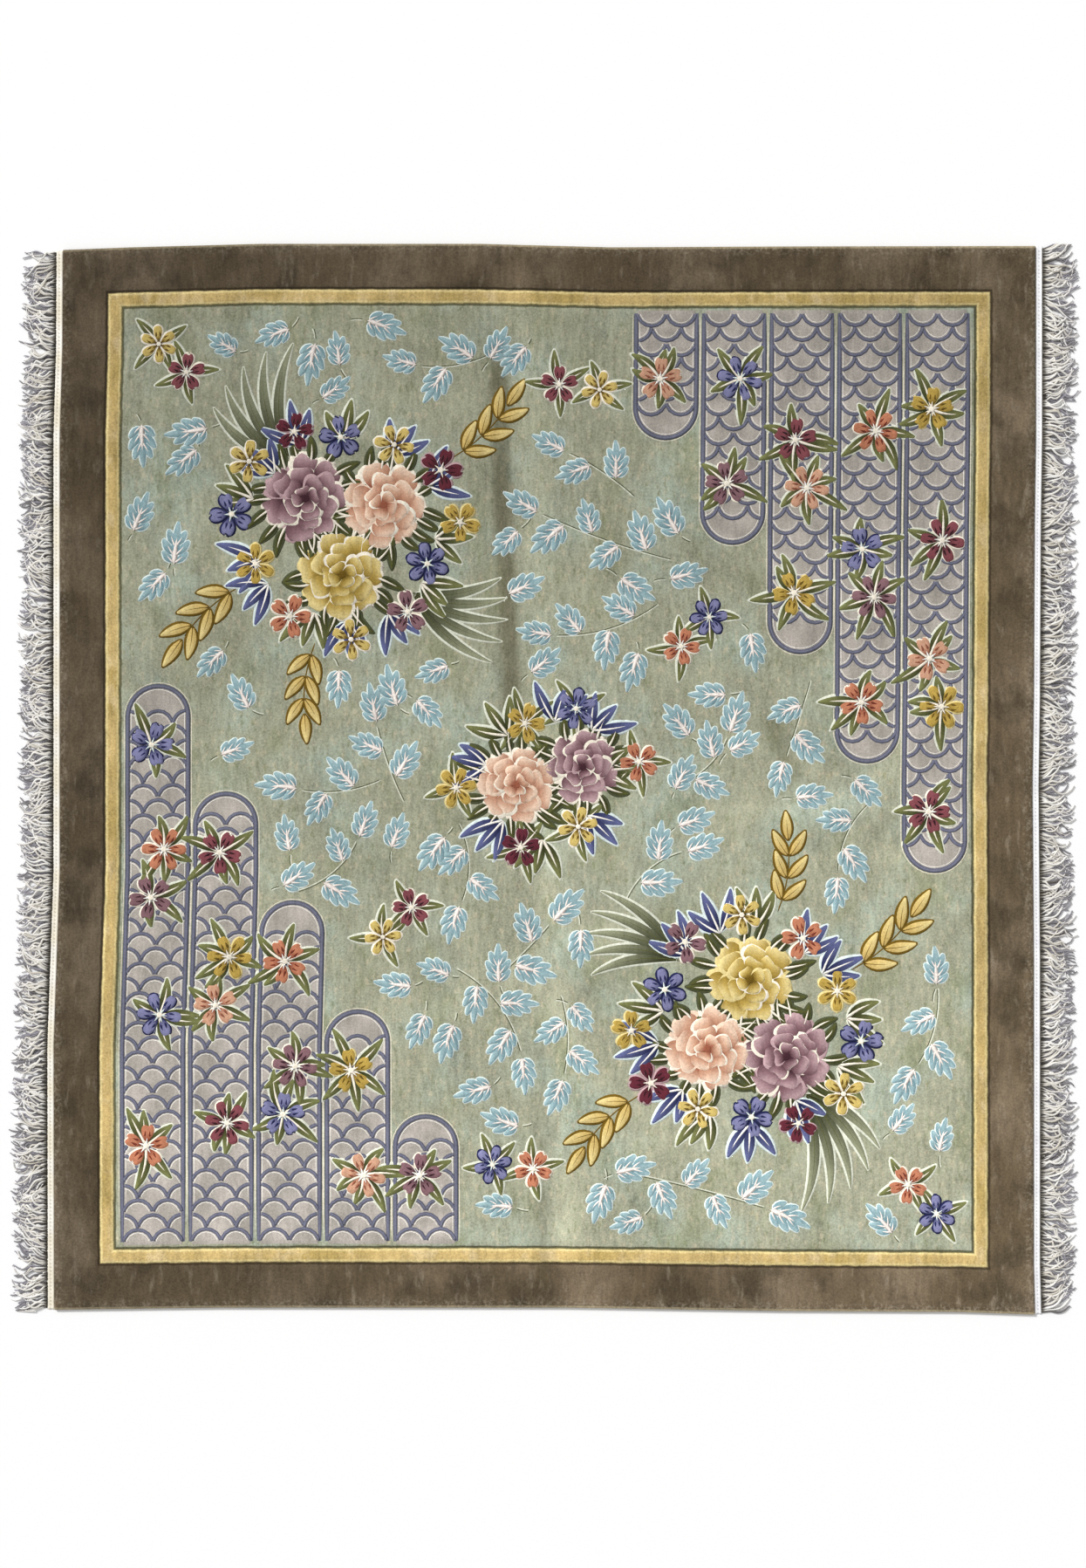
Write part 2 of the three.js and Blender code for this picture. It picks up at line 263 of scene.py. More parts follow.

# %% [markdown]
# Cut pile catches light by the way it was last brushed, so a plain border is never one colour: it
# shows broad darker and lighter strokes, and a fine grain of tuft ends. Here the strokes are painted
# sheen in the colour. The nap of this rug leans towards the lower edge, which looks lighter for it, so
# the colour is painted lighter towards that edge. Each pile finish takes the same painted sheen and the
# same grain, so that carved motifs look knotted with their ground.


# %% Brushed pile, with painted sheen and light
PAINTED_NAP_LIGHT_MIDDLE, PAINTED_NAP_LIGHT_PER_METRE = 1.0, 0.15
FIELD_PAINTED_LIGHT = 0.06
TUFT_HEIGHT = 0.6


def painted_field_light(place):
    """Painted light as a factor near 1: the field and its motifs lighter towards the lower right."""
    return 1 - place.part(1) * FIELD_PAINTED_LIGHT + place.part(0) * FIELD_PAINTED_LIGHT


def painted_sheen_and_grain(place, strength=1.0):
    """Painted light as a factor near 1: lighter towards the lower edge for the nap's sheen, painted sheen of
    strokes that feet and brushes left in the pile, and a grain of tuft ends.
    """
    # painted light: lighter towards the lower edge, where the nap leans
    nap = PAINTED_NAP_LIGHT_MIDDLE - place.part(1) * PAINTED_NAP_LIGHT_PER_METRE
    broad = (place.noise(3.2, 3.0) - 0.5) * 0.55
    stroke = (place.noise(15.0, 4.0, (1.0, 0.5, 1.0), 0.6) - 0.5) * 0.6
    streak = (place.noise(90.0, 2.0, (1.0, 0.2, 1.0)) - 0.5) * 0.7
    grain = (place.noise(240.0, 3.0) - 0.5) * 1.1
    return nap * (1 + (broad + stroke + streak + grain) * strength)


def pile_bump(shader, place):
    """Tuft ends and faint rows of knots, as a small bump."""
    tufts = place.noise(420.0, 2.0)
    rows = place.noise(240.0, 1.0, (1.0, 0.12, 1.0))
    height = tufts * 0.7 + rows * 0.3
    inputs = {"Strength": 0.6, "Distance": TUFT_HEIGHT * MM, "Height": height}
    bump = place.node("ShaderNodeBump", None, inputs)
    place.tree.links.new(bump.output, shader.inputs["Normal"])


def soft_sheen(shader):
    shader.inputs["Roughness"].default_value = 0.92
    shader.inputs["Specular IOR Level"].default_value = 0.12
    shader.inputs["Sheen Weight"].default_value = 0.15
    shader.inputs["Sheen Roughness"].default_value = 0.45


print("pile finishes share one nap, one grain and one sheen")


# %% Dyes of the three grounds
def one_dye(place, code):
    dye = place.node("ShaderNodeRGB")
    dye.output.default_value = colour(code)
    return dye


def sage_field(place):
    """Faded sage with cooler and duller patches, and flecks where the dye took unevenly."""
    sage = one_dye(place, "A1A28B")
    sage = sage.mixed(colour("A5B3A4"), place.noise(5.0, 4.0).step(0.45, 0.66) * 0.6)
    sage = sage.mixed(colour("858968"), place.noise(10.0, 5.0, (1.0, 0.6, 1.0)).step(0.5, 0.7) * 0.6)
    sage = sage.mixed(colour("C2B79C"), place.noise(85.0, 3.0, (1.0, 0.5, 1.0)).step(0.52, 0.72) * 0.55)
    sage = sage.mixed(colour("757B56"), place.noise(110.0, 3.0, (1.0, 0.45, 1.0)).step(0.54, 0.72) * 0.5)
    # painted light: the field lighter towards the lower right
    return sage.shaded(painted_field_light(place))


def gold_guard(place, inward):
    gold = one_dye(place, "C7AD73")
    gold = gold.mixed(colour("AE9658"), place.noise(7.0, 4.0).step(0.42, 0.66) * 0.8)
    gold = gold.mixed(colour("DDC79A"), place.noise(30.0, 4.0, (1.0, 0.6, 1.0)).step(0.5, 0.7) * 0.6)
    # painted highlight: a pale line along both edges of the guard stripe, on the bevels of its carved
    # grooves
    pale = abs(inward - BORDER - GUARD / 2).step(GUARD / 2 - 9.0, GUARD / 2 - 4.5)
    return gold.mixed(colour("EAD99C"), pale * 0.6)


def brown_border(place, inward, from_end):
    brown = one_dye(place, "5D503D")
    brown = brown.mixed(colour("7D6E5A"), place.noise(4.6, 5.0, (1.0, 0.7, 1.0)).step(0.42, 0.66) * 0.75)
    brown = brown.mixed(colour("41382A"), place.noise(9.0, 5.0).step(0.48, 0.7) * 0.7)
    brown = brown.mixed(colour("8E8270"), place.noise(60.0, 4.0, (1.0, 0.3, 1.0)).step(0.55, 0.75) * 0.45)
    rubbed = inward.step(30.0, 3.0) * place.noise(150.0, 4.0).step(0.45, 0.66)
    brown = brown.mixed(colour("B5AA96"), rubbed * 0.3)
    return brown.mixed(colour("B6A888"), from_end.step(7.0, 3.0) * 0.6)


print("three grounds: sage, gold and brown")


# %% The ground: border, guard stripe and field
def ground_pile():
    material, place, shader = start_material("ground_pile")
    flat = place.node("ShaderNodeUVMap", {"uv_map": "chart"})
    from_side = RUG_WIDTH / 2 - abs((flat.part(0) - 0.5) * RUG_WIDTH)
    from_end = RUG_DEPTH / 2 - abs((flat.part(1) - 0.5) * RUG_DEPTH)
    inward = from_side.least(from_end) + (place.noise(40.0, 3.0) - 0.5) * 5

    # painted light: the brown border darker at the left side and lighter at the right
    brown = brown_border(place, inward, from_end).shaded(0.76 + flat.part(0) * 0.38)
    dyed_ground = brown.mixed(gold_guard(place, inward), inward.step(BORDER - 1.2, BORDER + 1.2))
    in_field = inward.step(BORDER + GUARD - 1.2, BORDER + GUARD + 1.2)
    dyed_ground = dyed_ground.mixed(sage_field(place), in_field)
    # painted shade: dark lines in the carved grooves on both sides of the guard stripe
    outer_groove_shade = abs(inward - BORDER + 1.5).step(5.0, 1.4)
    inner_groove_shade = abs(inward - BORDER - GUARD - 1.0).step(5.0, 1.6)
    dyed_ground = dyed_ground.mixed(colour("342A1B"), outer_groove_shade * 0.8)
    dyed_ground = dyed_ground.mixed(colour("45442A"), inner_groove_shade * 0.85)

    crease = place.node("ShaderNodeAttribute", {"attribute_name": "crease"}, None, "Fac")
    # painted shade and light: darker in the creases' troughs, lighter on their ridges
    dyed_ground = dyed_ground.mixed(colour("5E5637"), crease.step(-0.25, -1.5) * 0.5)
    crease_light_and_shade = crease.step(-1.6, 1.6) * 0.4 + 0.8
    # painted sheen of the brushing and painted light of the nap, with the tuft grain
    finished = dyed_ground.shaded(painted_sheen_and_grain(place) * crease_light_and_shade)
    place.tree.links.new(finished.output, shader.inputs["Base Color"])
    soft_sheen(shader)
    pile_bump(shader, place)
    return material


GROUND_PILE = ground_pile()
print("made", GROUND_PILE.name, "with", len(GROUND_PILE.node_tree.nodes), "nodes")

# %% [markdown]
# Every carved motif carries its dyes on its own points, in an attribute, so one finish serves them
# all: it takes the dye and adds the painted sheen of the brushing, the field's painted light and the tufts.


# %% Dyed, carved pile
def carved_pile_finish():
    material, place, shader = start_material("carved_dyes")
    dye = place.node("ShaderNodeAttribute", {"attribute_name": "dye"}, None, "Color")
    # painted sheen of the brushing and painted light of the field, as on the ground
    finished = dye.shaded(painted_sheen_and_grain(place, 0.75) * painted_field_light(place))
    place.tree.links.new(finished.output, shader.inputs["Base Color"])
    soft_sheen(shader)
    pile_bump(shader, place)
    return material


def yarn_finish(name, bump_scale):
    material, place, shader = start_material(name)
    dye = place.node("ShaderNodeAttribute", {"attribute_name": "dye"}, None, "Color")
    mottled = 1 + (place.noise(24.0, 4.0) - 0.5) * 0.3 + (place.noise(260.0, 2.0) - 0.5) * 0.3
    place.tree.links.new(dye.shaded(mottled).output, shader.inputs["Base Color"])
    inputs = {"Strength": 0.5, "Distance": 0.0005, "Height": place.noise(bump_scale, 2.0)}
    bump = place.node("ShaderNodeBump", None, inputs)
    place.tree.links.new(bump.output, shader.inputs["Normal"])
    soft_sheen(shader)
    return material


CARVED_DYES = carved_pile_finish()
FRINGE_YARN = yarn_finish("fringe_yarn", 700.0)
BAND_WEAVE = yarn_finish("band_weave", 500.0)
print("made", CARVED_DYES.name, FRINGE_YARN.name, BAND_WEAVE.name)


# %% [markdown]
# On the back of a knotted rug every knot shows as a small bead in its own dye, so the border, the
# guard stripe and the field can be read there too, paler and without the carving.


# %% The woven back
BACK_BROWN, BACK_GOLD, BACK_SAGE = "8A7A61", "B9A273", "A3A288"


def woven_back():
    material, place, shader = start_material("woven_back")
    knots = {"Scale": 170.0, "Distortion": 0.6, "Detail": 2.0}
    across = place.node("ShaderNodeTexWave", {"bands_direction": "X"}, {"Vector": place, **knots}, 1)
    along = place.node("ShaderNodeTexWave", {"bands_direction": "Y"}, {"Vector": place, **knots}, 1)
    bead = across * along
    from_side = RUG_WIDTH / 2 - abs(place.part(0) - CHART_ORIGIN.x) / MM
    from_end = RUG_DEPTH / 2 - abs(place.part(1) - CHART_ORIGIN.y) / MM
    inward = from_side.least(from_end)
    dye = one_dye(place, BACK_BROWN).mixed(colour(BACK_GOLD), inward.step(BORDER - 2, BORDER + 2))
    dye = dye.mixed(colour(BACK_SAGE), inward.step(BORDER + GUARD - 2, BORDER + GUARD + 2))
    dye = dye.mixed(colour("8C8068"), place.noise(5.0, 4.0).step(0.4, 0.7) * 0.5)
    # painted shade: the colour darker between the knots' beads and lighter on their tops
    place.tree.links.new(dye.shaded(0.72 + bead * 0.4).output, shader.inputs["Base Color"])
    bump = place.node("ShaderNodeBump", None, {"Strength": 0.6, "Distance": 0.0006, "Height": bead})
    place.tree.links.new(bump.output, shader.inputs["Normal"])
    shader.inputs["Roughness"].default_value = 0.9
    return material


WOVEN_BACK = woven_back()
print("made", WOVEN_BACK.name)

# %% [markdown]
# The pile is one closed sheet. A grid is the natural start: its rows are then moved to where the
# shape needs them, close together at the rim and at the carved lines and wide apart in the field.
# The rim is extruded down to the woven foundation and closed there.


# %% Rows of the pile's grid
def rows_of(size, step):
    groove = np.array([-GROOVE_HALF, -3.5, -1.5, 0, 1.5, 3.5, GROOVE_HALF])
    rim = np.array([0, 1.2, 3.2, 6.5, RIM_ROUND])
    border = np.linspace(RIM_ROUND, BORDER - GROOVE_HALF, 9)[1:-1]
    guard = np.linspace(BORDER + GROOVE_HALF, BORDER + GUARD - GROOVE_HALF, 4)[1:-1]
    edge = np.concatenate([rim, border, BORDER + groove, guard, BORDER + GUARD + groove]) - size / 2
    field = np.linspace(edge[-1], -edge[-1], round(-2 * edge[-1] / step) + 1)[1:-1]
    return np.concatenate([edge, field, -edge[::-1]])


PILE_STEP = 12.0
PILE_U, PILE_V = rows_of(RUG_WIDTH, PILE_STEP), rows_of(RUG_DEPTH, PILE_STEP)
print("pile grid:", len(PILE_U), "by", len(PILE_V), "rows")


# %% Make an object from a mesh
def new_piece(name, mesh, material):
    mesh.materials.append(material)
    piece = bpy.data.objects.new(name, mesh)
    bpy.context.scene.collection.objects.link(piece)
    mesh.shade_smooth()
    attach(piece, "root")
    print(name, "has", sum(len(p.vertices) - 2 for p in mesh.polygons), "triangles")
    return piece


def on_floor(u, v, height):
    """Points of the chart as places in the frame, in metres."""
    x, y = lay_out(u, v)
    return np.column_stack([x * MM + CHART_ORIGIN.x, y * MM + CHART_ORIGIN.y, height * MM])


print("the rug's middle lies at", on_floor(np.zeros(1), np.zeros(1), np.zeros(1))[0].round(4))


# %% The pile
def pile_sheet():
    bm = bmesh.new()
    across, along = len(PILE_U) - 1, len(PILE_V) - 1
    bmesh.ops.create_grid(bm, x_segments=across, y_segments=along, size=1)
    rim = [e for e in bm.edges if e.is_boundary]
    walls = bmesh.ops.extrude_edge_only(bm, edges=rim)["geom"]
    low = [g for g in walls if isinstance(g, bmesh.types.BMVert)]
    bmesh.ops.translate(bm, verts=low, vec=(0, 0, -1))
    bmesh.ops.edgeloop_fill(bm, edges=[e for e in bm.edges if e.is_boundary])
    bmesh.ops.recalc_face_normals(bm, faces=bm.faces)
    mesh = bpy.data.meshes.new("pile_sheet")
    bm.to_mesh(mesh)
    bm.free()

    place = np.empty(len(mesh.vertices) * 3)
    mesh.vertices.foreach_get("co", place)
    place = place.reshape(-1, 3)
    u = np.interp((place[:, 0] + 1) / 2 * across, np.arange(across + 1), PILE_U)
    v = np.interp((place[:, 1] + 1) / 2 * along, np.arange(along + 1), PILE_V)
    below = place[:, 2] < -0.5
    height = np.where(below, FOUNDATION, pile_height(u, v))
    mesh.vertices.foreach_set("co", on_floor(u, v, height).ravel())

    crease = mesh.attributes.new("crease", "FLOAT", "POINT")
    crease.data.foreach_set("value", crease_height(u, v))
    corners = np.empty(len(mesh.loops), int)
    mesh.loops.foreach_get("vertex_index", corners)
    chart = np.column_stack([u / RUG_WIDTH, v / RUG_DEPTH]) + 0.5
    # in the map for baking, the underside's rim lies just outside that of the top
    apart = np.where(below, 1.004, 0.99)[:, None]
    for name, uv in (("chart", chart), ("OFBake", (chart - 0.5) * apart * 0.99 + 0.5)):
        layer = mesh.uv_layers.new(name=name)
        layer.data.foreach_set("uv", uv[corners].ravel())
    return mesh


pile = new_piece("carved_pile", pile_sheet(), GROUND_PILE)
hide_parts("rug_pile")


# %% The foundation under the pile
FOUNDATION_INSET, FOUNDATION_GAP = 0.6, 0.02


def foundation_sheet():
    bm = bmesh.new()
    bmesh.ops.create_grid(bm, x_segments=40, y_segments=44, size=1)
    top = bm.faces[:]
    under = bmesh.ops.extrude_face_region(bm, geom=top)["geom"]
    moved = [g for g in under if isinstance(g, bmesh.types.BMVert)]
    bmesh.ops.translate(bm, verts=moved, vec=(0, 0, 1))
    bmesh.ops.recalc_face_normals(bm, faces=bm.faces)
    mesh = bpy.data.meshes.new("foundation_sheet")
    bm.to_mesh(mesh)
    bm.free()
    place = np.array([v.co for v in mesh.vertices])
    u = place[:, 0] * (RUG_WIDTH / 2 - FOUNDATION_INSET)
    v = place[:, 1] * (RUG_DEPTH / 2 - FOUNDATION_INSET)
    height = np.where(place[:, 2] > 0.5, FOUNDATION - FOUNDATION_GAP, 0.0)
    mesh.vertices.foreach_set("co", on_floor(u, v, height).ravel())
    return mesh


foundation = new_piece("woven_foundation", foundation_sheet(), WOVEN_BACK)
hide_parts("rug_pile")

# %% [markdown]
# Carving is done after the knotting: the cutter trims the pile along every outline, so that each
# petal and leaf stands as a low flat pillow with a bevelled edge. All these forms are ribbons: a line
# down the middle, a width along it, and a section whose edges sink into the ground. One closed grid
# from an operator is the pattern for a ribbon, and every petal, leaf, stem and ridge is that grid laid
# along its own line and joined with the others of its layer.

# %% A closed grid as the pattern of a ribbon
GRIDS = {}


def ribbon_grid(along, across):
    """Row, sideways share from -1 to 1, and faces of a grid closed below by one face."""
    if (along, across) not in GRIDS:
        bm = bmesh.new()
        bmesh.ops.create_grid(bm, x_segments=along, y_segments=across, size=1)
        inner = [v for v in bm.verts if not v.is_boundary]
        bmesh.ops.translate(bm, verts=inner, vec=(0, 0, 1))
        bmesh.ops.edgeloop_fill(bm, edges=[e for e in bm.edges if e.is_boundary])
        bmesh.ops.recalc_face_normals(bm, faces=bm.faces)
        place = np.array([v.co for v in bm.verts])
        faces = sorted(([v.index for v in f.verts] for f in bm.faces), key=len, reverse=True)
        bm.free()
        row = np.rint((place[:, 0] + 1) / 2 * along).astype(int)
        GRIDS[along, across] = row, place[:, 1], faces
    return GRIDS[along, across]


print("a leaf of 8 by 6 has", len(ribbon_grid(8, 6)[2]), "faces")


# %% Layers of carved forms
class Carving:
    """Ribbons of one layer, joined into one mesh."""

    def __init__(self):
        self.places, self.dyes, self.faces, self.cells = [], [], [], []
        self.count = 0

    def add(self, place, dye, faces, cell):
        self.places.append(place)
        self.dyes.append(dye)
        self.faces += [[i + self.count for i in face] for face in faces]
        self.cells.append(cell)
        self.count += len(place)

    def ribbon(self, line, half_width, lift, dye, across=6, sink=1.0, notch=0.0):
        """Lays a ribbon along a line of chart points. Lift and dye are functions of the share along it
        and of the share to either side. A notch draws the middle of the tip back."""
        row, side, faces = ribbon_grid(len(line) - 1, across)
        t = row / (len(line) - 1)
        s = np.sign(side) * (1 - (1 - np.abs(side)) ** 1.5)
        way = np.gradient(line, axis=0)
        way /= np.maximum(np.hypot(way[:, 0], way[:, 1]), 1e-9)[:, None]
        beside = np.column_stack([-way[:, 1], way[:, 0]])
        half = np.broadcast_to(half_width, len(line))[row]
        back = notch * t**6 * (1 - np.abs(s))
        flat = line[row] + beside[row] * (s * half)[:, None] - way[row] * back[:, None]
        edge = (np.abs(side) > 0.999) | (row == 0) | (row == len(line) - 1)
        height = np.where(edge, -sink, lift(t, s))
        run = np.hypot(*np.diff(line, axis=0).T).sum()
        cell = (run, 2 * float(np.max(half)), t, (s + 1) / 2)
        self.add(np.column_stack([flat, height]), dye(t, s), faces, cell)

    def finish(self, name, material, slot, ground=None):
        """One mesh of all ribbons. Ground gives the height that lifts are measured from."""
        place, dye = np.concatenate(self.places), np.concatenate(self.dyes)
        u, v, height = place.T
        if ground is not None:
            height = height + ground(u, v)
        mesh = bpy.data.meshes.new(name)
        mesh.from_pydata(on_floor(u, v, np.maximum(height, 0.0)), [], self.faces)
        tint = mesh.attributes.new("dye", "FLOAT_COLOR", "POINT")
        tint.data.foreach_set("color", np.column_stack([dye, np.ones(len(dye))]).ravel())
        spread_map(mesh, self.cells)
        return new_piece(name, mesh, material)


# %% [markdown]
# A finish can be baked into one flat picture for tools that don't know Blender's nodes, and then every
# ribbon needs a rectangle of its own there. An unwrap could look for one, but a ribbon is a rectangle
# already, so lengths and widths are packed in rows, like slips of paper on shelves.


# %% A map with a cell for every ribbon
def spread_map(mesh, cells):
    """Packs the ribbons' own rectangles in rows, so that each has its place in the baked picture."""
    gap = 4.0
    area = sum((run + gap) * (width + gap) for run, width, *_ in cells)
    wall = math.sqrt(area) * 1.06
    order = sorted(range(len(cells)), key=lambda i: -cells[i][1])
    corner, shelf, low, tall = {}, 0.0, 0.0, 0.0
    for i in order:
        run, width = min(cells[i][0], wall - gap), cells[i][1]
        if shelf + run + gap > wall:
            shelf, low, tall = 0.0, low + tall, 0.0
        corner[i] = shelf, low
        shelf, tall = shelf + run + gap, max(tall, width + gap)
    side = max(wall, low + tall)
    uv = np.concatenate([
        np.column_stack([corner[i][0] + t * min(run, wall - gap), corner[i][1] + across * width])
        for i, (run, width, t, across) in enumerate(cells)
    ]) / side
    corners = np.empty(len(mesh.loops), int)
    mesh.loops.foreach_get("vertex_index", corners)
    layer = mesh.uv_layers.new(name="OFBake")
    layer.data.foreach_set("uv", uv[corners].ravel())


print("ribbons are mapped cell by cell")


# %% Lines, widths and lifts
def rise(low, high, x):
    x = np.clip((x - low) / (high - low), 0, 1)
    return x * x * (3 - 2 * x)


def blend(a, b, share):
    return a + (b - a) * np.asarray(share)[..., None]


def heading_way(heading):
    return np.array([math.cos(heading), math.sin(heading)])


def sweep(root, heading, length, bend=0.0, steps=8):
    """A line from a root, that turns evenly by bend on its way."""
    angle = heading + bend * (np.arange(steps) + 0.5) / steps
    moves = np.column_stack([np.cos(angle), np.sin(angle)]) * length / steps
    return np.vstack([[root], root + np.cumsum(moves, axis=0)])


def leaf_width(steps, widest=0.4):
    """Share of the full width along a pointed leaf."""
    t = np.linspace(0, 1, steps + 1)
    swell = np.where(t < widest, t / widest, (1 - t) / (1 - widest))
    return np.sin(np.clip(swell, 0, 1) * math.pi / 2)


def petal_width(steps, widest=0.62, root=0.0):
    """Share of the full width along a petal: narrow at its root, round at its tip."""
    t = np.linspace(0, 1, steps + 1)
    swell = root + (1 - root) * np.sin(np.clip(t / widest, 0, 1) * math.pi / 2)
    tip = np.sqrt(np.clip(1 - ((t - widest) / (1 - widest)) ** 2, 0, 1))
    return np.where(t < widest, swell, tip)


def level(height):
    return lambda t, s: height + 0 * t


def pillow(height, lean=0.0):
    """A flat top with bevelled sides and ends. A lean lifts one side, so that petals overlap."""
    def lift(t, s):
        ends = np.minimum(rise(0, 0.1, t), rise(0, 0.08, 1 - t))
        return (height + lean * s) * (1 - np.abs(s) ** 6) * ends
    return lift


print("a petal's widths:", petal_width(8).round(2))

# %% The dye card
DYES = {name: dyed(code) for name, code in {
    "cream": "F3EAD8", "white": "F7F3EB", "painted_cut_shade": "4E5238", "stem": "DADCCB",
    "turquoise": "75969E", "pale_turquoise": "A3BEC1", "ice": "DAE6E3", "flame": "F2E8E0",
    "dark_olive": "2F3217", "olive": "5A5C31", "pale_olive": "7D8050", "sage": "9A9D80",
    "navy": "20244A", "slate_blue": "666C96", "slate": "777889", "dark_slate": "4E5062",
    "lavender": "9F9990", "pale_lavender": "BBB3AA", "mauve": "86646A", "dark_mauve": "42252D",
    "pink_mauve": "BE9FA2", "peach": "CB9C80", "dark_peach": "935640", "pale_peach": "ECD0B8",
    "gold": "B99C4C", "dark_gold": "6F5617", "pale_gold": "E2CF90", "burgundy": "83494F",
    "dark_burgundy": "3A171E", "orange": "BE7C5E", "dark_orange": "7A3524", "yellow": "CDB56A",
    "lilac": "7F7FA4", "dark_lilac": "262A55", "crimson": "632A35", "gilt": "CBAD66",
}.items()}
print(len(DYES), "dyes")


def plain(name):
    return lambda t, s: np.broadcast_to(DYES[name], (*t.shape, 3))


def along_dye(base, tip, shade=0.35):
    """From one dye at the root to another at the tip, with one half deeper than the other."""
    def dye(t, s):
        body = blend(DYES[base], DYES[tip], rise(0.05, 0.95, t))
        return blend(body, DYES[base], shade * rise(-0.1, 0.5, s))
    return dye


# %% [markdown]
# The carver leaves a pale rim along a form and takes the pile away round it, and that groove lies in
# shade. So a carved form is three ribbons on one line: a flat dark ribbon of painted shade for the
# groove, the pale rim over it, and the dyed top. A stroke is a thin line of another dye knotted into
# the top, such as a vein.


# %% A form with its rim and the painted shade of its groove
RIM_WIDTH, CUT_SHADE_WIDTH, CUT_SHADE_LIFT = 4.4, 3.6, 0.35


def grown(line, half, by):
    """The same line and widths, larger by a margin all round."""
    longer = line.copy()
    for end, inner in ((0, 1), (-1, -2)):
        away = line[end] - line[inner]
        longer[end] += away / max(np.hypot(*away), 1e-9) * by
    t = np.linspace(0, 1, len(line))
    return longer, half + by * np.clip(6 * np.minimum(t, 1 - t), 0, 1) ** 0.5


def carved(layer, line, half, height, dye, rim_dye, base=0.0, across=6, **shape):
    shade_line, shade_half = grown(line, half, RIM_WIDTH + CUT_SHADE_WIDTH)
    # painted shade: a flat dark ribbon where the carved groove round the form lies in shade
    layer.ribbon(shade_line, shade_half, level(base + CUT_SHADE_LIFT), plain("painted_cut_shade"), 2, **shape)
    rim_line, rim_half = grown(line, half, RIM_WIDTH)
    layer.ribbon(rim_line, rim_half, pillow(0.75 * height), plain(rim_dye), 4, **shape)
    layer.ribbon(line, half, pillow(height), dye, across, **shape)


def stroke(layer, line, half, height, name, widest=0.3):
    taper = leaf_width(len(line) - 1, widest)
    layer.ribbon(line, half * taper, level(height), plain(name), 2, sink=0.5 - height)


print("a carved form has a rim of", RIM_WIDTH, "mm in a cut of", CUT_SHADE_WIDTH, "mm")

# %% [markdown]
# The field holds groups of arched panels, which step down from two corners like organ pipes, with a
# fish-scale pattern between raised outlines. The scales are the old wave pattern of overlapping
# round arches, so a loop lays them row by row, every second row shifted by half a scale.

# %% Where the panels stand
PANEL_WIDTH, PANEL_PITCH = 150.0, 156.0
FIRST_PANEL_U = 894.0
PANEL_LENGTHS = [1290.0, 1040.0, 790.0, 540.0, 300.0]
PANEL_START = -6.0
ARCH_STEPS = 18
# way is -1 for a panel that hangs from the top of the field, and 1 for one that rises from the bottom
PANELS = [
    {"way": way, "u": -way * (FIRST_PANEL_U - column * PANEL_PITCH), "length": length, "column": column}
    for way in (-1, 1)
    for column, length in enumerate(PANEL_LENGTHS)
]


def up_panel(panel, far):
    """Chart v at a distance from the edge that a panel starts from."""
    return panel["way"] * (far - FIELD_HALF_V)


def arch_path(panel, inset):
    """Line round a panel at an inset from its outline."""
    half = PANEL_WIDTH / 2 - inset
    shoulder = panel["length"] - PANEL_WIDTH / 2
    run = np.arange(PANEL_START, shoulder, 16.0)
    turn = np.linspace(0, math.pi, ARCH_STEPS + 1)
    u = np.concatenate([np.full(len(run), half), half * np.cos(turn), np.full(len(run), -half)])
    far = np.concatenate([run, shoulder + half * np.sin(turn), run[::-1]])
    return np.column_stack([panel["u"] + u, up_panel(panel, far)])


print(len(PANELS), "panels")


# %% Panel grounds
def panel_wash(t, s):
    share = 0.5 + 0.3 * np.sin(23 * t + 4 * s) + 0.2 * np.sin(61 * t - 3 * s)
    return blend(DYES["lavender"], DYES["pale_lavender"], share)


def panel_ground(layer, panel):
    half = PANEL_WIDTH / 2 - 4
    shoulder = panel["length"] - PANEL_WIDTH / 2
    turn = np.linspace(0, math.pi / 2, 10)[1:]
    run = np.arange(PANEL_START, shoulder, 10.0)
    far = np.concatenate([run, [shoulder], shoulder + half * np.sin(turn)])
    past = np.clip((far - shoulder) / half, 0, 1)
    line = np.column_stack([np.full(len(far), panel["u"]), up_panel(panel, far)])
    layer.ribbon(line, half * np.sqrt(1 - past**2), level(0.6), panel_wash, across=10)


panels = Carving()
for panel in PANELS:
    panel_ground(panels, panel)
print("panel grounds have", panels.count, "points")

# %% Ridges and scales
RIDGE_HALF, HIGHLIGHT_HALF = 5.2, 1.9
SCALE_RADIUS, SCALE_ROW = 34.0, 34.0


# painted shade: the slate darker towards both bevelled sides of a ridge
def ridge_dye_with_edge_shade(t, s):
    return blend(DYES["slate"], DYES["dark_slate"], rise(0.0, 0.9, np.abs(s)))


def ridge(layer, line, half, height):
    layer.ribbon(line, half, pillow(height), ridge_dye_with_edge_shade, across=4)


def scale_arc(layer, panel, middle, far, from_turn, to_turn):
    """A slate arc with a painted highlight line under it, shortened where it would leave the panel's start.
    """
    low = math.asin(min(max((PANEL_START + 5 - far) / (SCALE_RADIUS - 2 * RIDGE_HALF), 0), 1))
    from_turn, to_turn = max(from_turn, low), min(to_turn, math.pi - low)
    if to_turn - from_turn < 0.4:
        return
    turn = np.linspace(from_turn, to_turn, 9)
    arc = np.column_stack([np.cos(turn), panel["way"] * np.sin(turn)])
    centre = np.array([panel["u"] + middle, up_panel(panel, far)])
    ridge(layer, centre + arc * SCALE_RADIUS, RIDGE_HALF, 1.8)
    # painted highlight: a white line just inside each slate arc
    light = centre + arc * (SCALE_RADIUS - RIDGE_HALF - HIGHLIGHT_HALF)
    layer.ribbon(light, HIGHLIGHT_HALF, pillow(1.5), plain("white"), across=2)


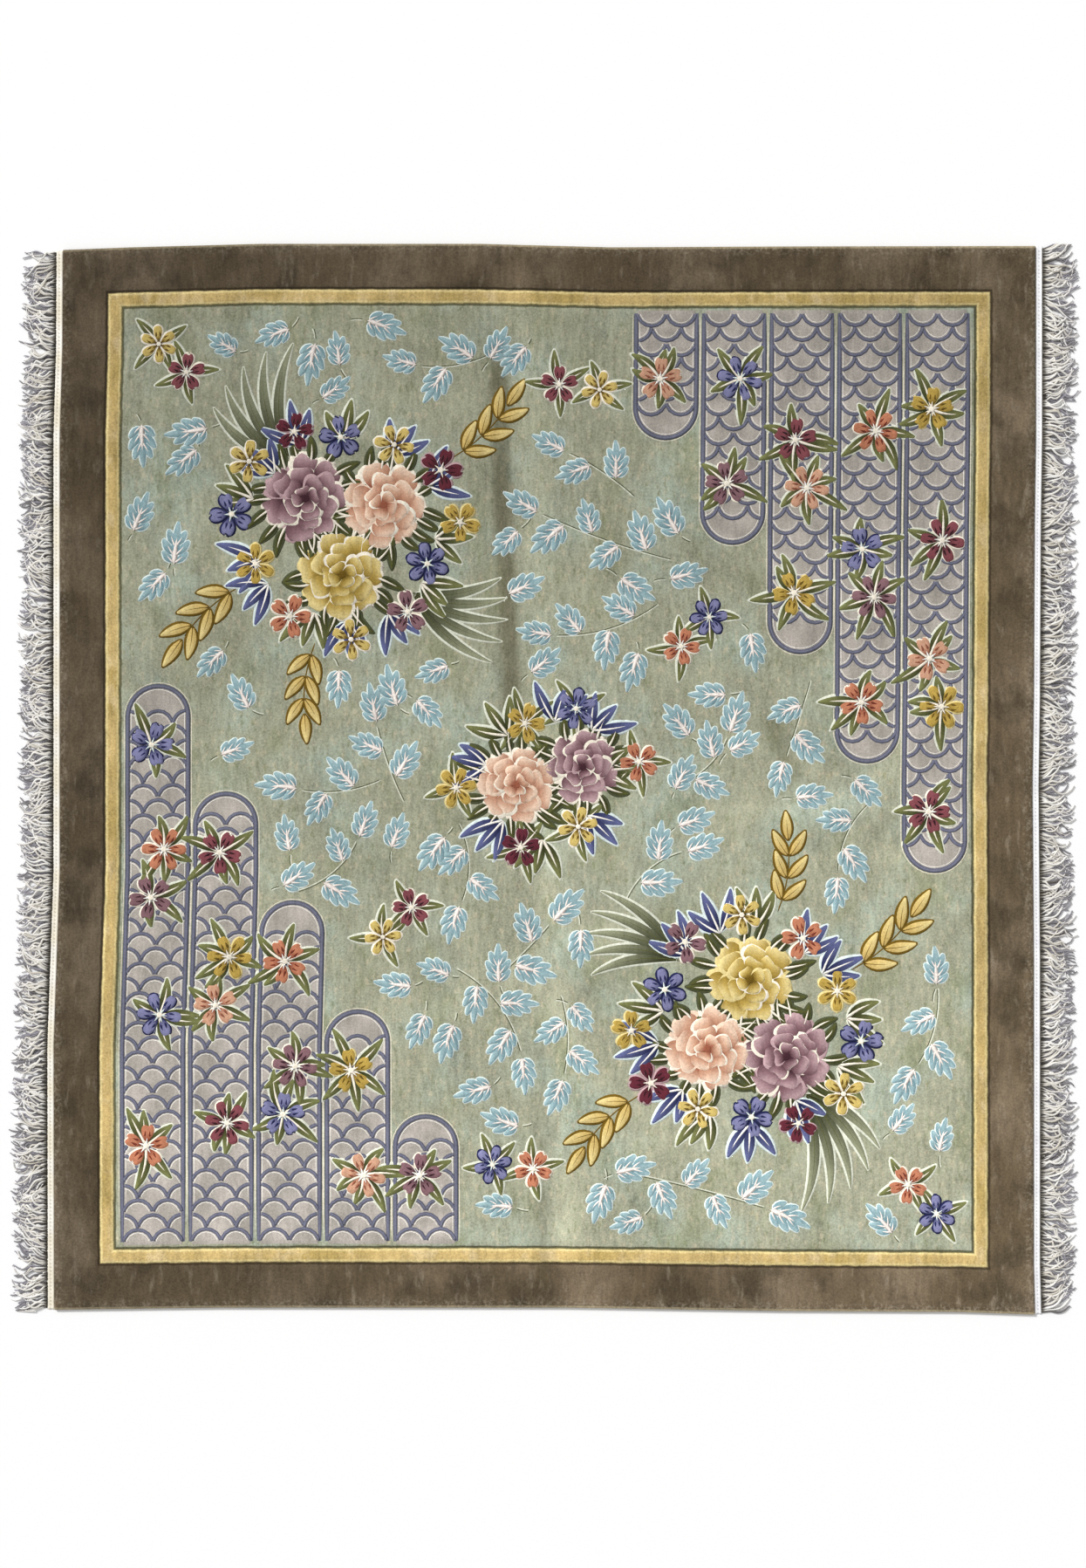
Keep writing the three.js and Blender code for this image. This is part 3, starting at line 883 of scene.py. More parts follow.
def panel_scales(layer, panel):
    full, right, left = (0, math.pi), (math.pi / 2, math.pi), (0, math.pi / 2)
    last = panel["length"] - PANEL_WIDTH / 2 - 4
    for row, far in enumerate(np.arange(4.0 - SCALE_ROW, last, SCALE_ROW)):
        if row % 2:
            middles = [(-SCALE_RADIUS, full), (SCALE_RADIUS, full)]
        else:
            middles = [(0.0, full), (-2 * SCALE_RADIUS, left), (2 * SCALE_RADIUS, right)]
        for middle, turns in middles:
            scale_arc(layer, panel, middle, far, *turns)


for panel in PANELS:
    panel_scales(panels, panel)
    ridge(panels, arch_path(panel, 5.5), 6.0, 2.1)
    # painted highlights: a white line inside the outline's ridge and a cream line outside it
    panels.ribbon(arch_path(panel, 13.5), HIGHLIGHT_HALF, pillow(1.7), plain("white"), across=2)
    panels.ribbon(arch_path(panel, -2.2), 1.6, pillow(0.9), plain("cream"), across=2)
panel_relief = panels.finish("arched_panels", CARVED_DYES, "pile", pile_height)

# %% [markdown]
# Leaves are pointed ribbons with a vein. Blossoms have five or six petals, each with a carved rim, a
# ray and two dark marks, round a small pale eye. Roses have rings of broad petals, each ring higher
# and closer than the one before, dark at the root and pale at the rim.


# %% A leaf
# root dye, tip dye, rim, vein
LEAF_LOOKS = {
    "olive": ("dark_olive", "pale_olive", "stem", "cream"),
    # thorn leaves have a dark rim in the same colour as the painted shade of their groove
    "thorn": ("dark_olive", "olive", "painted_cut_shade", "cream"),
    "navy": ("navy", "slate_blue", "ice", "white"),
    "gilt": ("gilt", "pale_gold", "dark_gold", "dark_gold"),
    "blade": ("dark_olive", "sage", "stem", "olive"),
}
VEIN_SHARES = {"olive": 0.25, "thorn": 0.34, "navy": 0.2, "gilt": 0.09, "blade": 0.09}


def leaf(layer, root, heading, length, half, name, height=1.7, bend=0.0, steps=8, base=0.0):
    base_dye, tip_dye, rim, vein = LEAF_LOOKS[name]
    line = sweep(np.asarray(root, float), heading, length, bend, steps)
    width = half * leaf_width(steps, 0.42)
    carved(layer, line, width, height, along_dye(base_dye, tip_dye), rim, base=base, across=4)
    vein_half = VEIN_SHARES[name] * half
    stroke(layer, line[:round(0.8 * steps) + 1], vein_half, height + 0.3, vein, 0.2)


print(len(LEAF_LOOKS), "kinds of leaves")


# %% A blossom
# deep dye, main dye, rim, ray
BLOOM_DYES = {
    "burgundy": ("dark_burgundy", "burgundy", "cream", "white"),
    "orange": ("dark_orange", "orange", "cream", "white"),
    "gold": ("dark_gold", "gold", "pale_gold", "cream"),
    "yellow": ("dark_gold", "yellow", "cream", "dark_gold"),
    "lilac": ("dark_lilac", "lilac", "navy", "ice"),
    "crimson": ("dark_burgundy", "crimson", "pink_mauve", "cream"),
    "mauve": ("dark_mauve", "mauve", "cream", "white"),
    "peach": ("dark_peach", "peach", "cream", "white"),
}


def petal_dye(deep, main):
    def dye(t, s):
        body = blend(DYES[deep], DYES[main], rise(0.08, 0.5, t))
        return blend(body, DYES[deep], 0.35 * rise(0.5, 1.0, np.abs(s)))
    return dye


def eye(layer, middle, radius, name, height):
    across = np.linspace(-1, 1, 7)
    line = middle + np.column_stack([radius * across, np.zeros(7)])
    width = radius * np.sqrt(1 - across**2)
    layer.ribbon(line, width, level(height), plain(name), across=4, sink=0.8 - height)


def blossom(layer, middle, radius, petals, turn, name, height=2.4, base=0.0):
    deep, main, rim, ray = BLOOM_DYES[name]
    widest = radius * (0.36 if petals == 5 else 0.29)
    notch = 0.16 * radius if petals == 5 else 0.0
    for k in range(petals):
        heading = turn + 2 * math.pi * k / petals
        line = sweep(middle + 0.1 * radius * heading_way(heading), heading, 0.98 * radius, 0.0, 8)
        carved(
            layer, line, widest * petal_width(8), height + 0.12 * (k % 2), petal_dye(deep, main), rim,
            base=base, notch=notch,
        )
        stroke(layer, sweep(middle, heading, 0.4 * radius, 0.0, 4), 0.05 * radius, height + 0.45, ray)
        for side in (-0.26, 0.26):
            mark = sweep(middle + 0.4 * radius * heading_way(heading + side), heading, 0.34 * radius, 0.0, 4)
            stroke(layer, mark, 0.06 * radius, height + 0.4, deep)
    eye(layer, middle, 0.14 * radius, "cream", height + 0.7)


print(len(BLOOM_DYES), "dyes of blossoms")


# %% A rose
ROSE_RINGS = [
    {"petals": 7, "from": 0.36, "reach": 0.66, "width": 0.40, "height": 2.2},
    {"petals": 6, "from": 0.22, "reach": 0.58, "width": 0.36, "height": 3.0},
    {"petals": 5, "from": 0.10, "reach": 0.46, "width": 0.32, "height": 3.8},
    {"petals": 4, "from": 0.00, "reach": 0.34, "width": 0.24, "height": 4.6},
]
ROSE_RIM, ROSE_LEAN = 6.5, 0.6
CREAM_SHARE = 0.6
# deep dye, main dye, pale dye
ROSE_DYES = {
    "mauve": ("dark_mauve", "mauve", "pink_mauve"),
    "peach": ("dark_peach", "peach", "pale_peach"),
    "gold": ("dark_gold", "gold", "pale_gold"),
}


def rose_petal_dye(deep, main, pale):
    def dye(t, s):
        body = blend(DYES[deep], DYES[main], rise(0.15, 0.6, t))
        lit = blend(body, DYES[pale], 0.9 * rise(0.5, 0.95, t + 0.2 * s))
        return blend(lit, DYES[deep], 0.6 * rise(0.1, 1.0, -s))
    return dye


def rose(layer, middle, radius, turn, name, rng):
    for ring in ROSE_RINGS:
        turn += 0.8
        for k in range(ring["petals"]):
            heading = turn + 2 * math.pi * (k + rng.uniform(-0.15, 0.15)) / ring["petals"]
            root = middle + ring["from"] * radius * heading_way(heading)
            reach = ring["reach"] * radius * rng.uniform(0.92, 1.06)
            line = sweep(root, heading, reach, rng.uniform(-0.5, 0.5), 9)
            half = ring["width"] * radius * rng.uniform(0.92, 1.1) * petal_width(9, 0.58, 0.4)
            notch = radius * rng.uniform(-0.06, 0.14)
            rim_line, rim_half = grown(line, half, ROSE_RIM)
            rim_lift = pillow(ring["height"] - 0.3, ROSE_LEAN)
            edge = "cream" if rng.uniform() < CREAM_SHARE else ROSE_DYES[name][2]
            layer.ribbon(rim_line, rim_half, rim_lift, plain(edge), 6, notch=notch)
            dye = rose_petal_dye(*ROSE_DYES[name])
            layer.ribbon(line, half, pillow(ring["height"], ROSE_LEAN), dye, 8, notch=notch)
    eye(layer, middle, 0.1 * radius, ROSE_DYES[name][0], 5.0)


print("a rose has", sum(ring["petals"] for ring in ROSE_RINGS), "petals")

# %% [markdown]
# Two large bouquets stand across from each other in the upper left and the lower right, a small one
# lies in the middle, and sprigs fill the gaps. A bouquet is a short table of blooms round its middle,
# turned as a whole, with leaves that point outward from under them.

# %% The bouquets' tables
# petals, u, v, radius, dye
ROSE = 9
LARGE_BOUQUET = [
    (ROSE, -85, 75, 100, "mauve"), (ROSE, 95, 60, 98, "peach"), (ROSE, 0, -100, 100, "gold"),
    (5, -5, 215, 48, "lilac"), (6, 118, 198, 46, "yellow"), (5, 225, 140, 50, "crimson"),
    (5, 270, 20, 46, "gold"), (6, 195, -75, 48, "lilac"), (5, 150, -185, 50, "mauve"),
    (6, 20, -248, 46, "yellow"), (5, -120, -195, 50, "orange"), (6, -200, -75, 46, "gold"),
    (5, -255, 40, 50, "lilac"), (6, -215, 160, 48, "yellow"), (5, -112, 228, 44, "crimson"),
]
SMALL_BOUQUET = [
    (ROSE, -70, 15, 90, "peach"), (ROSE, 85, -20, 86, "mauve"),
    (5, 15, 130, 46, "gold"), (6, 135, 105, 46, "lilac"), (5, 205, -70, 46, "orange"),
    (6, 10, -135, 46, "yellow"), (5, -130, -115, 46, "crimson"), (6, -195, 75, 46, "gold"),
]
SPRIG = [(5, -34, 10, 44, "burgundy"), (6, 52, -26, 42, "yellow")]
OTHER_SPRIG = [(5, -34, 10, 44, "orange"), (6, 52, -26, 42, "lilac")]
BOUQUETS = [
    {"blooms": LARGE_BOUQUET, "u": -470, "v": 560, "turn": 0.0},
    {"blooms": LARGE_BOUQUET, "u": 470, "v": -560, "turn": math.pi},
    {"blooms": SMALL_BOUQUET, "u": 0, "v": 0, "turn": 0.5},
    {"blooms": SPRIG, "u": 60, "v": 900, "turn": 0.3},
    {"blooms": OTHER_SPRIG, "u": -60, "v": -900, "turn": math.pi + 0.3},
    {"blooms": OTHER_SPRIG, "u": 330, "v": 330, "turn": 1.2},
    {"blooms": SPRIG, "u": -330, "v": -330, "turn": math.pi + 1.2},
    {"blooms": OTHER_SPRIG, "u": 860, "v": -950, "turn": -0.4},
    {"blooms": SPRIG, "u": -860, "v": 950, "turn": math.pi - 0.4},
]


def turned(u, v, turn):
    return np.array([u * math.cos(turn) - v * math.sin(turn), u * math.sin(turn) + v * math.cos(turn)])


def middle_of(bouquet):
    return np.array([bouquet["u"], bouquet["v"]], float)


print(sum(len(b["blooms"]) for b in BOUQUETS), "blooms in bouquets")


# %% Blades and gilt sprigs of the large bouquets
BLADES = 5


def gilt_sprig(layer, root, heading, length):
    line = sweep(root, heading, length, 0.5, 10)
    layer.ribbon(line, 2.6, pillow(1.4), plain("dark_gold"), 2)
    for k in (2, 5, 8):
        for side in (-1, 1):
            way = heading + 0.05 * k + side * 0.7
            leaf(layer, line[k], way, 0.44 * length, 0.085 * length, "gilt", 1.8, -0.3 * side)
    leaf(layer, line[-1], heading + 0.5, 0.44 * length, 0.085 * length, "gilt", 1.8)


def blades_and_sprigs(layer, bouquet):
    middle, turn = middle_of(bouquet), bouquet["turn"]
    for k in range(BLADES):
        upper, lower = middle + turned(-120, 160, turn), middle + turned(160, -140, turn)
        leaf(layer, upper, turn + 2.0 + 0.24 * k, 290 - 14 * k, 17, "blade", 1.1, -0.9, 14)
        leaf(layer, lower, turn - 1.1 + 0.22 * k, 260 - 10 * k, 16, "blade", 1.1, 0.8, 14)
    gilt_sprig(layer, middle + turned(-225, -120, turn), turn + 3.6, 190)
    gilt_sprig(layer, middle + turned(-60, -250, turn), turn + 4.3, 170)
    gilt_sprig(layer, middle + turned(245, 165, turn), turn + 0.5, 180)


greenery = Carving()
for bouquet in BOUQUETS:
    if bouquet["blooms"] is LARGE_BOUQUET:
        blades_and_sprigs(greenery, bouquet)
print("blades and gilt sprigs have", greenery.count, "points")


# %% Leaves round a bouquet and under its blooms
FANS_LARGE, FANS_SMALL = 13, 8
REACH_LARGE, REACH_SMALL = 250.0, 165.0
THORNS_PER_ROSE, LEAVES_PER_BLOSSOM = 18, 4


def leaves_round(layer, bouquet, count, reach, rng):
    """Fans of three leaves that spread outward from under the blooms."""
    for k in range(count):
        heading = 2 * math.pi * (k + rng.uniform(-0.25, 0.25)) / count
        root = middle_of(bouquet) + reach * rng.uniform(0.76, 0.94) * heading_way(heading)
        name = "navy" if k % 3 else "olive"
        for spread in (-0.75, 0.75, 0.0):
            way = heading + spread + rng.uniform(-0.15, 0.15)
            bend = -0.5 * spread + rng.uniform(-0.2, 0.2)
            leaf(layer, root, way, rng.uniform(84, 116), 18, name, 2.0 + 0.2 * (spread == 0), bend)


def leaves_under(layer, at, petals, radius, rng):
    if petals == ROSE:
        for k in range(THORNS_PER_ROSE):
            heading = 2 * math.pi * k / THORNS_PER_ROSE + rng.uniform(-0.1, 0.1)
            root = at + 0.78 * radius * heading_way(heading)
            way, bend = heading + rng.uniform(-0.3, 0.3), rng.uniform(-0.9, 0.9)
            leaf(layer, root, way, rng.uniform(56, 88), 11, "thorn", 1.9, bend)
    else:
        for k in range(LEAVES_PER_BLOSSOM):
            heading = rng.uniform(0, 0.8) + math.pi / 2 * k
            length = radius * rng.uniform(1.7, 2.0)
            leaf(layer, at, heading, length, 14, "olive", 1.8, rng.uniform(-0.5, 0.5))


rng = np.random.default_rng(11)
for bouquet in BOUQUETS:
    large = bouquet["blooms"] is LARGE_BOUQUET
    if large:
        leaves_round(greenery, bouquet, FANS_LARGE, REACH_LARGE, rng)
    elif bouquet["blooms"] is SMALL_BOUQUET:
        leaves_round(greenery, bouquet, FANS_SMALL, REACH_SMALL, rng)
    for petals, u, v, radius, _ in bouquet["blooms"]:
        if petals == ROSE or not large:
            at = middle_of(bouquet) + turned(u, v, bouquet["turn"])
            leaves_under(greenery, at, petals, radius, rng)
print("with the leaves", greenery.count, "points")

# %% Blooms on the panels, and their leaves
PANEL_BLOOMS_FROM_TIP = [140.0, 380.0, 490.0, 760.0, 1060.0]
PANEL_BLOOM_RADIUS, PANEL_SWAY = 51.0, 14.0
PANEL_BLOOM_DYES = ["burgundy", "orange", "gold", "mauve", "peach", "lilac"]
PANEL_BASE = 0.7
LEAVES_PER_PANEL_BLOOM = 6


def panel_blooms():
    """Middle, petals, turn and dye of every bloom on the panels."""
    for number, panel in enumerate(PANELS):
        backs = [b for b in PANEL_BLOOMS_FROM_TIP if b < panel["length"] - PANEL_WIDTH / 2]
        for i, back in enumerate(backs):
            sway = PANEL_SWAY if i % 2 else -PANEL_SWAY
            middle = np.array([panel["u"] + sway, up_panel(panel, panel["length"] - back)])
            dye = PANEL_BLOOM_DYES[(number + 2 * i) % len(PANEL_BLOOM_DYES)]
            yield middle, 5 + i % 2, panel["column"] + i, dye


def in_field(at, room):
    return abs(at[0]) < FIELD_HALF_U - room and abs(at[1]) < FIELD_HALF_V - room


for middle, petals, turn, _ in panel_blooms():
    for k in range(LEAVES_PER_PANEL_BLOOM):
        heading = turn + 0.6 + 2 * math.pi * k / LEAVES_PER_PANEL_BLOOM + rng.uniform(-0.45, 0.45)
        length, bend = rng.uniform(74, 114), rng.uniform(-0.8, 0.8)
        if in_field(middle + length * heading_way(heading), 10):
            leaf(greenery, middle, heading, length, 17, "olive", 2.7, bend, base=PANEL_BASE)
bouquet_greens = greenery.finish("bouquet_leaves", CARVED_DYES, "pile", pile_height)

# %% The blooms
blooms, roses = Carving(), Carving()
for bouquet in BOUQUETS:
    for i, (petals, u, v, radius, name) in enumerate(bouquet["blooms"]):
        at = middle_of(bouquet) + turned(u, v, bouquet["turn"])
        if petals == ROSE:
            rose(roses, at, radius, bouquet["turn"] + i, name, rng)
        else:
            blossom(blooms, at, radius, petals, bouquet["turn"] + i, name, 2.8)
for middle, petals, turn, name in panel_blooms():
    blossom(blooms, middle, PANEL_BLOOM_RADIUS, petals, turn, name, 3.4, PANEL_BASE)
carved_blooms = blooms.finish("carved_blossoms", CARVED_DYES, "pile", pile_height)
carved_roses = roses.finish("carved_roses", CARVED_DYES, "pile", pile_height)

# %% [markdown]
# The open ground is strewn with turquoise leaves, singly and in sprays on engraved stems. Each leaf
# has pointed lobes along its middle and a white flame of veins. Setting out each one by hand would
# take a long table. Places are drawn from a seeded source instead, and kept only where there is room
# beside the other motifs and leaves, so the same rug comes out on every run.


# %% A strewn leaf
# share along the leaf where a lobe starts, its turn, length and half width as shares of the leaf
LOBES = [
    (0.08, 1.05, 0.38, 0.100), (0.08, -1.05, 0.38, 0.100),
    (0.22, 0.86, 0.46, 0.115), (0.22, -0.86, 0.46, 0.115),
    (0.40, 0.62, 0.42, 0.110), (0.40, -0.62, 0.42, 0.110),
    (0.04, 0.00, 0.96, 0.120),
]
SPINE_STEPS, LOBE_STEPS = 50, 5
LOBE_CURL, LOBE_RIM, LOBE_CUT_SHADE = 0.45, 2.4, 5.8
FLAME_SHARE = 0.58


def strewn_leaf(layer, root, heading, length, bend):
    spine = sweep(root, heading, length, bend, SPINE_STEPS)
    for start, turn, share, half in LOBES:
        foot = spine[round(SPINE_STEPS * start)]
        way, curl = heading + bend * start + turn, bend * share - LOBE_CURL * turn
        line = sweep(foot, way, share * length, curl, LOBE_STEPS)
        width = half * length * leaf_width(LOBE_STEPS, 0.45)
        # painted shade: a flat dark ribbon round each lobe where its carved groove lies in shade
        shade_line, shade_half = grown(line, width, LOBE_CUT_SHADE)
        layer.ribbon(shade_line, shade_half, level(CUT_SHADE_LIFT), plain("painted_cut_shade"), 2)
        rim_line, rim_half = grown(line, width, LOBE_RIM)
        layer.ribbon(rim_line, rim_half, pillow(0.9), plain("ice"), 4)
        layer.ribbon(line, width, pillow(1.2), along_dye("turquoise", "pale_turquoise", 0.7), 4)
        flame = sweep(foot, way, FLAME_SHARE * share * length, curl, LOBE_STEPS)
        stroke(layer, flame, (0.024 + 0.034 * (turn == 0)) * length, 1.6, "flame", 0.25)


STEM_CUT_SHADE_HALF, STEM_LIGHT_HALF, STEM_LIGHT_ASIDE = 3.8, 2.6, 2.8


def engraved_stem(layer, line):
    # painted shade: a flat dark ribbon along the engraved groove, with the pale stem beside it
    layer.ribbon(line, STEM_CUT_SHADE_HALF, level(CUT_SHADE_LIFT), plain("painted_cut_shade"), 2)
    beside = np.column_stack([-np.gradient(line[:, 1]), np.gradient(line[:, 0])])
    beside /= np.hypot(*beside.T)[:, None]
    layer.ribbon(line + STEM_LIGHT_ASIDE * beside, STEM_LIGHT_HALF, level(0.8), plain("stem"), 2)


print("a strewn leaf has", len(LOBES), "lobes")

# %% Room for the leaves
LAYERS_BELOW = (panels, greenery, blooms, roses)
MOTIF_POINTS = np.concatenate([place[:, :2] for layer in LAYERS_BELOW for place in layer.places])[::3]
ROOM_TO_MOTIFS, ROOM_TO_LEAVES, ROOM_TO_GUARD = 30.0, 46.0, 28.0
taken = np.empty((0, 2))


def tree_of(points):
    """A tree of chart points, which finds the one nearest to a place without trying them all."""
    tree = KDTree(len(points))
    for number, (u, v) in enumerate(points):
        tree.insert((u, v, 0), number)
    tree.balance()
    return tree


MOTIF_TREE = tree_of(MOTIF_POINTS)


def near_motif(at, room):
    return MOTIF_TREE.find((*at, 0))[2] < room


def near_leaf(at):
    return len(taken) and np.min(np.hypot(*(taken - at).T)) < ROOM_TO_LEAVES


def leaf_spots(root, heading, length):
    return [root + share * length * heading_way(heading) for share in (0.15, 0.55, 0.95)]


def has_room(spots):
    return all(
        in_field(at, ROOM_TO_GUARD) and not near_motif(at, ROOM_TO_MOTIFS) and not near_leaf(at)
        for at in spots
    )


print(len(MOTIF_POINTS), "points to keep clear of")

# %% Sprays first, then single leaves
strewn = Carving()
SPRAY_PITCH, SPRAY_TRIES, LEAF_TRIES = 66.0, 6000, 6000
STEM_STEPS, ROOM_TO_STEM = 5, 8.0


def drawn_place(rng):
    return np.array([rng.uniform(-FIELD_HALF_U, FIELD_HALF_U), rng.uniform(-FIELD_HALF_V, FIELD_HALF_V)])


def spray(rng):
    """A stem, with leaves in turn on either side of it."""
    count = int(rng.integers(3, 6))
    root = drawn_place(rng)
    heading, bend = rng.uniform(0, 2 * math.pi), rng.uniform(-1.1, 1.1)
    stem = sweep(root, heading, SPRAY_PITCH * count, bend, STEM_STEPS * count)
    leaves = []
    for k in range(count):
        way = heading + bend * (k + 1) / count + (1.0 if k % 2 else -1.0) * (k < count - 1)
        leaves.append((stem[STEM_STEPS * (k + 1)], way, rng.uniform(94, 118)))
    return stem, leaves


def single(rng):
    root = drawn_place(rng)
    heading = rng.uniform(0, 2 * math.pi)
    stem = sweep(root, heading + math.pi + rng.uniform(-0.5, 0.5), rng.uniform(20, 44), 0.6, STEM_STEPS)
    return stem, [(root, heading, rng.uniform(90, 116))]


leaf_count = 0
for attempt in range(SPRAY_TRIES + LEAF_TRIES):
    stem, leaves = spray(rng) if attempt < SPRAY_TRIES else single(rng)
    spots = [at for leaf_row in leaves for at in leaf_spots(*leaf_row)]
    clear_stem = all(
        in_field(at, ROOM_TO_STEM) and not near_motif(at, ROOM_TO_STEM) for at in stem[::STEM_STEPS]
    )
    if clear_stem and has_room(spots):
        engraved_stem(strewn, stem)
        for root, heading, length in leaves:
            strewn_leaf(strewn, root, heading, length, rng.uniform(-0.3, 0.3))
        taken = np.vstack([taken, spots])
        leaf_count += len(leaves)
strewn_leaves = strewn.finish("strewn_leaves", CARVED_DYES, "pile", pile_height)
print(leaf_count, "leaves strewn")

# %% [markdown]
# At both ends the rug's own warp threads leave the pile, pass through a narrow woven band and hang
# free as a fringe. The band has two bright cords with a row of stitches between them. The fringe is
# two layers of thin tubes: low ones in the shade of the others, dyed dark grey as painted shade on top
# of it, and over them the bright ones, which curl, drift with their neighbours and cross. All threads
# are painted dark at the root, as shade where they leave the band.

# %% The woven end bands
BAND_WIDTH, BAND_HEIGHT, PIECE_GAP = 17.0, 4.4, 0.3
BAND_ROWS = 1200
STITCH_PITCH, STITCH_HALF, TWIST_PITCH = 8.6, 0.18, 4.3
# main dye, patches, stitches
BAND_DYES = {-1: ("FFFAF0", "F0E6CC", "8C8668"), 1: ("FFFFFF", "F4F2F5", "8F8E9E")}


def end_band(side):
    layer = Carving()
    rows = np.linspace(-RUG_DEPTH / 2, RUG_DEPTH / 2, BAND_ROWS)
    middle = side * (RUG_WIDTH / 2 + PIECE_GAP + BAND_WIDTH / 2)
    line = np.column_stack([np.full(len(rows), middle), rows])
    main, patch, thread = (dyed(code) for code in BAND_DYES[side])

    def stitches(t, s):
        along = np.sin(2 * math.pi * t * RUG_DEPTH / STITCH_PITCH)
        return rise(-0.1, 0.5, along) * np.exp(-((s / STITCH_HALF) ** 2))

    def lift(t, s):
        cords = 0.7 * np.exp(-(((np.abs(s) - 0.6) / 0.26) ** 2))
        twist = 0.15 * np.sin(2 * math.pi * t * RUG_DEPTH / TWIST_PITCH + 5 * s)
        return BAND_HEIGHT - 1.2 + cords + twist - 0.8 * stitches(t, s) - 1.4 * np.abs(s) ** 8

    def dye(t, s):
        patches = 0.5 + 0.5 * np.sin(t * 37 + 2 * np.sin(t * 91))
        return blend(blend(main, patch, 0.7 * patches), thread, 0.6 * stitches(t, s))

    layer.ribbon(line, BAND_WIDTH / 2, lift, dye, across=10, sink=0.0)
    return layer


print("bands have a stitch every", STITCH_PITCH, "mm")


# %% A tube as the pattern of a thread
def thread_tube(steps, sides):
    """Step along, place round and faces of a closed tube."""
    bm = bmesh.new()
    ring = bmesh.ops.create_circle(bm, segments=sides, radius=1, cap_ends=True)["verts"]
    cap = ring[0].link_faces[0]
    for _ in range(steps):
        made = bmesh.ops.extrude_face_region(bm, geom=[cap])["geom"]
        bmesh.ops.delete(bm, geom=[cap], context="FACES_ONLY")
        moved = [g for g in made if isinstance(g, bmesh.types.BMVert)]
        bmesh.ops.translate(bm, verts=moved, vec=(0, 0, 1))
        cap = next(g for g in made if isinstance(g, bmesh.types.BMFace))
    bmesh.ops.edgeloop_fill(bm, edges=[e for e in bm.edges if e.is_boundary])
    bmesh.ops.recalc_face_normals(bm, faces=bm.faces)
    bm.verts.index_update()
    place = np.array([v.co for v in bm.verts])
    faces = [[v.index for v in f.verts] for f in bm.faces]
    bm.free()
    return np.rint(place[:, 2]).astype(int), place[:, :2], faces


THREAD_STEPS, THREAD_SIDES = 13, 4
THREAD_ROW, THREAD_ROUND, THREAD_FACES = thread_tube(THREAD_STEPS, THREAD_SIDES)
THREAD_TURN = (np.arctan2(THREAD_ROUND[:, 1], THREAD_ROUND[:, 0]) / (2 * math.pi)) % 1
print("a thread has", len(THREAD_FACES), "faces")


# %% Lay a thread
THREAD_CELL_WIDTH = 8.0


def lay_thread(layer, line, radius, dye):
    way = np.gradient(line, axis=0)
    way /= np.linalg.norm(way, axis=1)[:, None]
    beside = np.cross((0.0, 0.0, 1.0), way)
    beside /= np.linalg.norm(beside, axis=1)[:, None]
    over = np.cross(way, beside)
    row = THREAD_ROW
    ring = THREAD_ROUND[:, :1] * beside[row] + THREAD_ROUND[:, 1:] * over[row]
    run = np.linalg.norm(np.diff(line, axis=0), axis=1).sum()
    cell = (run, THREAD_CELL_WIDTH, row / THREAD_STEPS, THREAD_TURN)
    layer.add(line[row] + ring * radius[row][:, None], dye[row], THREAD_FACES, cell)


print("a thread can bend at", THREAD_STEPS - 1, "places")


# %% The fringe
FRINGE_LENGTH = 78.0
TIP_DYE = "F2F0F2"
# painted shade: the low threads are dyed dark grey, and both layers get a dark root dye that fades out by
# shade_end
LOW_THREADS_IN_PAINTED_SHADE = {
    "count": 520, "curl": (3.0, 10.0), "lift": 1.0, "reach": (0.9, 1.1), "thick": (2.2, 2.9),
    "root": "39352C", "shade_end": 0.4, "dyes": ("66625F", "A09DA6"), "tip": 0.1,
}
HIGH_THREADS = {
    "count": 480, "curl": (5.0, 17.0), "lift": 6.0, "reach": (0.76, 1.08), "thick": (2.2, 3.0),
    "root": "4F4A3F", "shade_end": 0.2, "dyes": ("CFC8BB", "F6F4EF"), "tip": 0.5,
}


def fringe(side, seed):
    layer = Carving()
    rng = np.random.default_rng(seed)
    t = np.linspace(0, 1, THREAD_STEPS + 1)
    start = side * (RUG_WIDTH / 2 + PIECE_GAP + BAND_WIDTH - 1.0)
    for look in (LOW_THREADS_IN_PAINTED_SHADE, HIGH_THREADS):
        dull, bright = (dyed(code) for code in look["dyes"])
        for k in range(look["count"]):
            root_v = ((k + rng.uniform(0.1, 0.9)) / look["count"] - 0.5) * (RUG_DEPTH - 8)
            lock = 0.5 * math.sin(0.021 * root_v + 1.3 * side) + 0.35 * math.sin(0.057 * root_v + 0.6)
            lean = lock + rng.normal(0, 0.36)
            length = FRINGE_LENGTH * rng.uniform(*look["reach"])
            curl, turns = rng.uniform(*look["curl"]), rng.uniform(0.8, 2.1)
            wave = turns * 2 * math.pi * t + rng.uniform(0, 2 * math.pi)
            out = length * t * (1 - 0.2 * abs(lean) * t) + 0.6 * curl * t * np.sin(wave + 1.4)
            drift = 0.6 * length * lean * t**1.4 + curl * t * np.sin(wave)
            rest = rng.uniform(*look["thick"])
            over = look["lift"] * rng.uniform(0.1, 1) * np.sin(math.pi * np.clip(1.1 * t, 0, 1)) ** 2
            line = np.column_stack([start + side * out, root_v + drift, rest + over])
            limit = RUG_DEPTH / 2 + 4
            line[:, 1] = np.clip(line[:, 1], -limit, limit)
            # painted shade: dark at the root, then paler towards the tips
            tone = blend(dull, bright, rng.uniform(0, 1) ** 0.7)
            tips = blend(tone, dyed(TIP_DYE), look["tip"] * rise(0.6, 1.0, t))
            dye = blend(dyed(look["root"]), tips, rise(0.02, look["shade_end"], t))
            lay_thread(layer, line, rest * (0.92 - 0.4 * t**3), dye)
    return layer


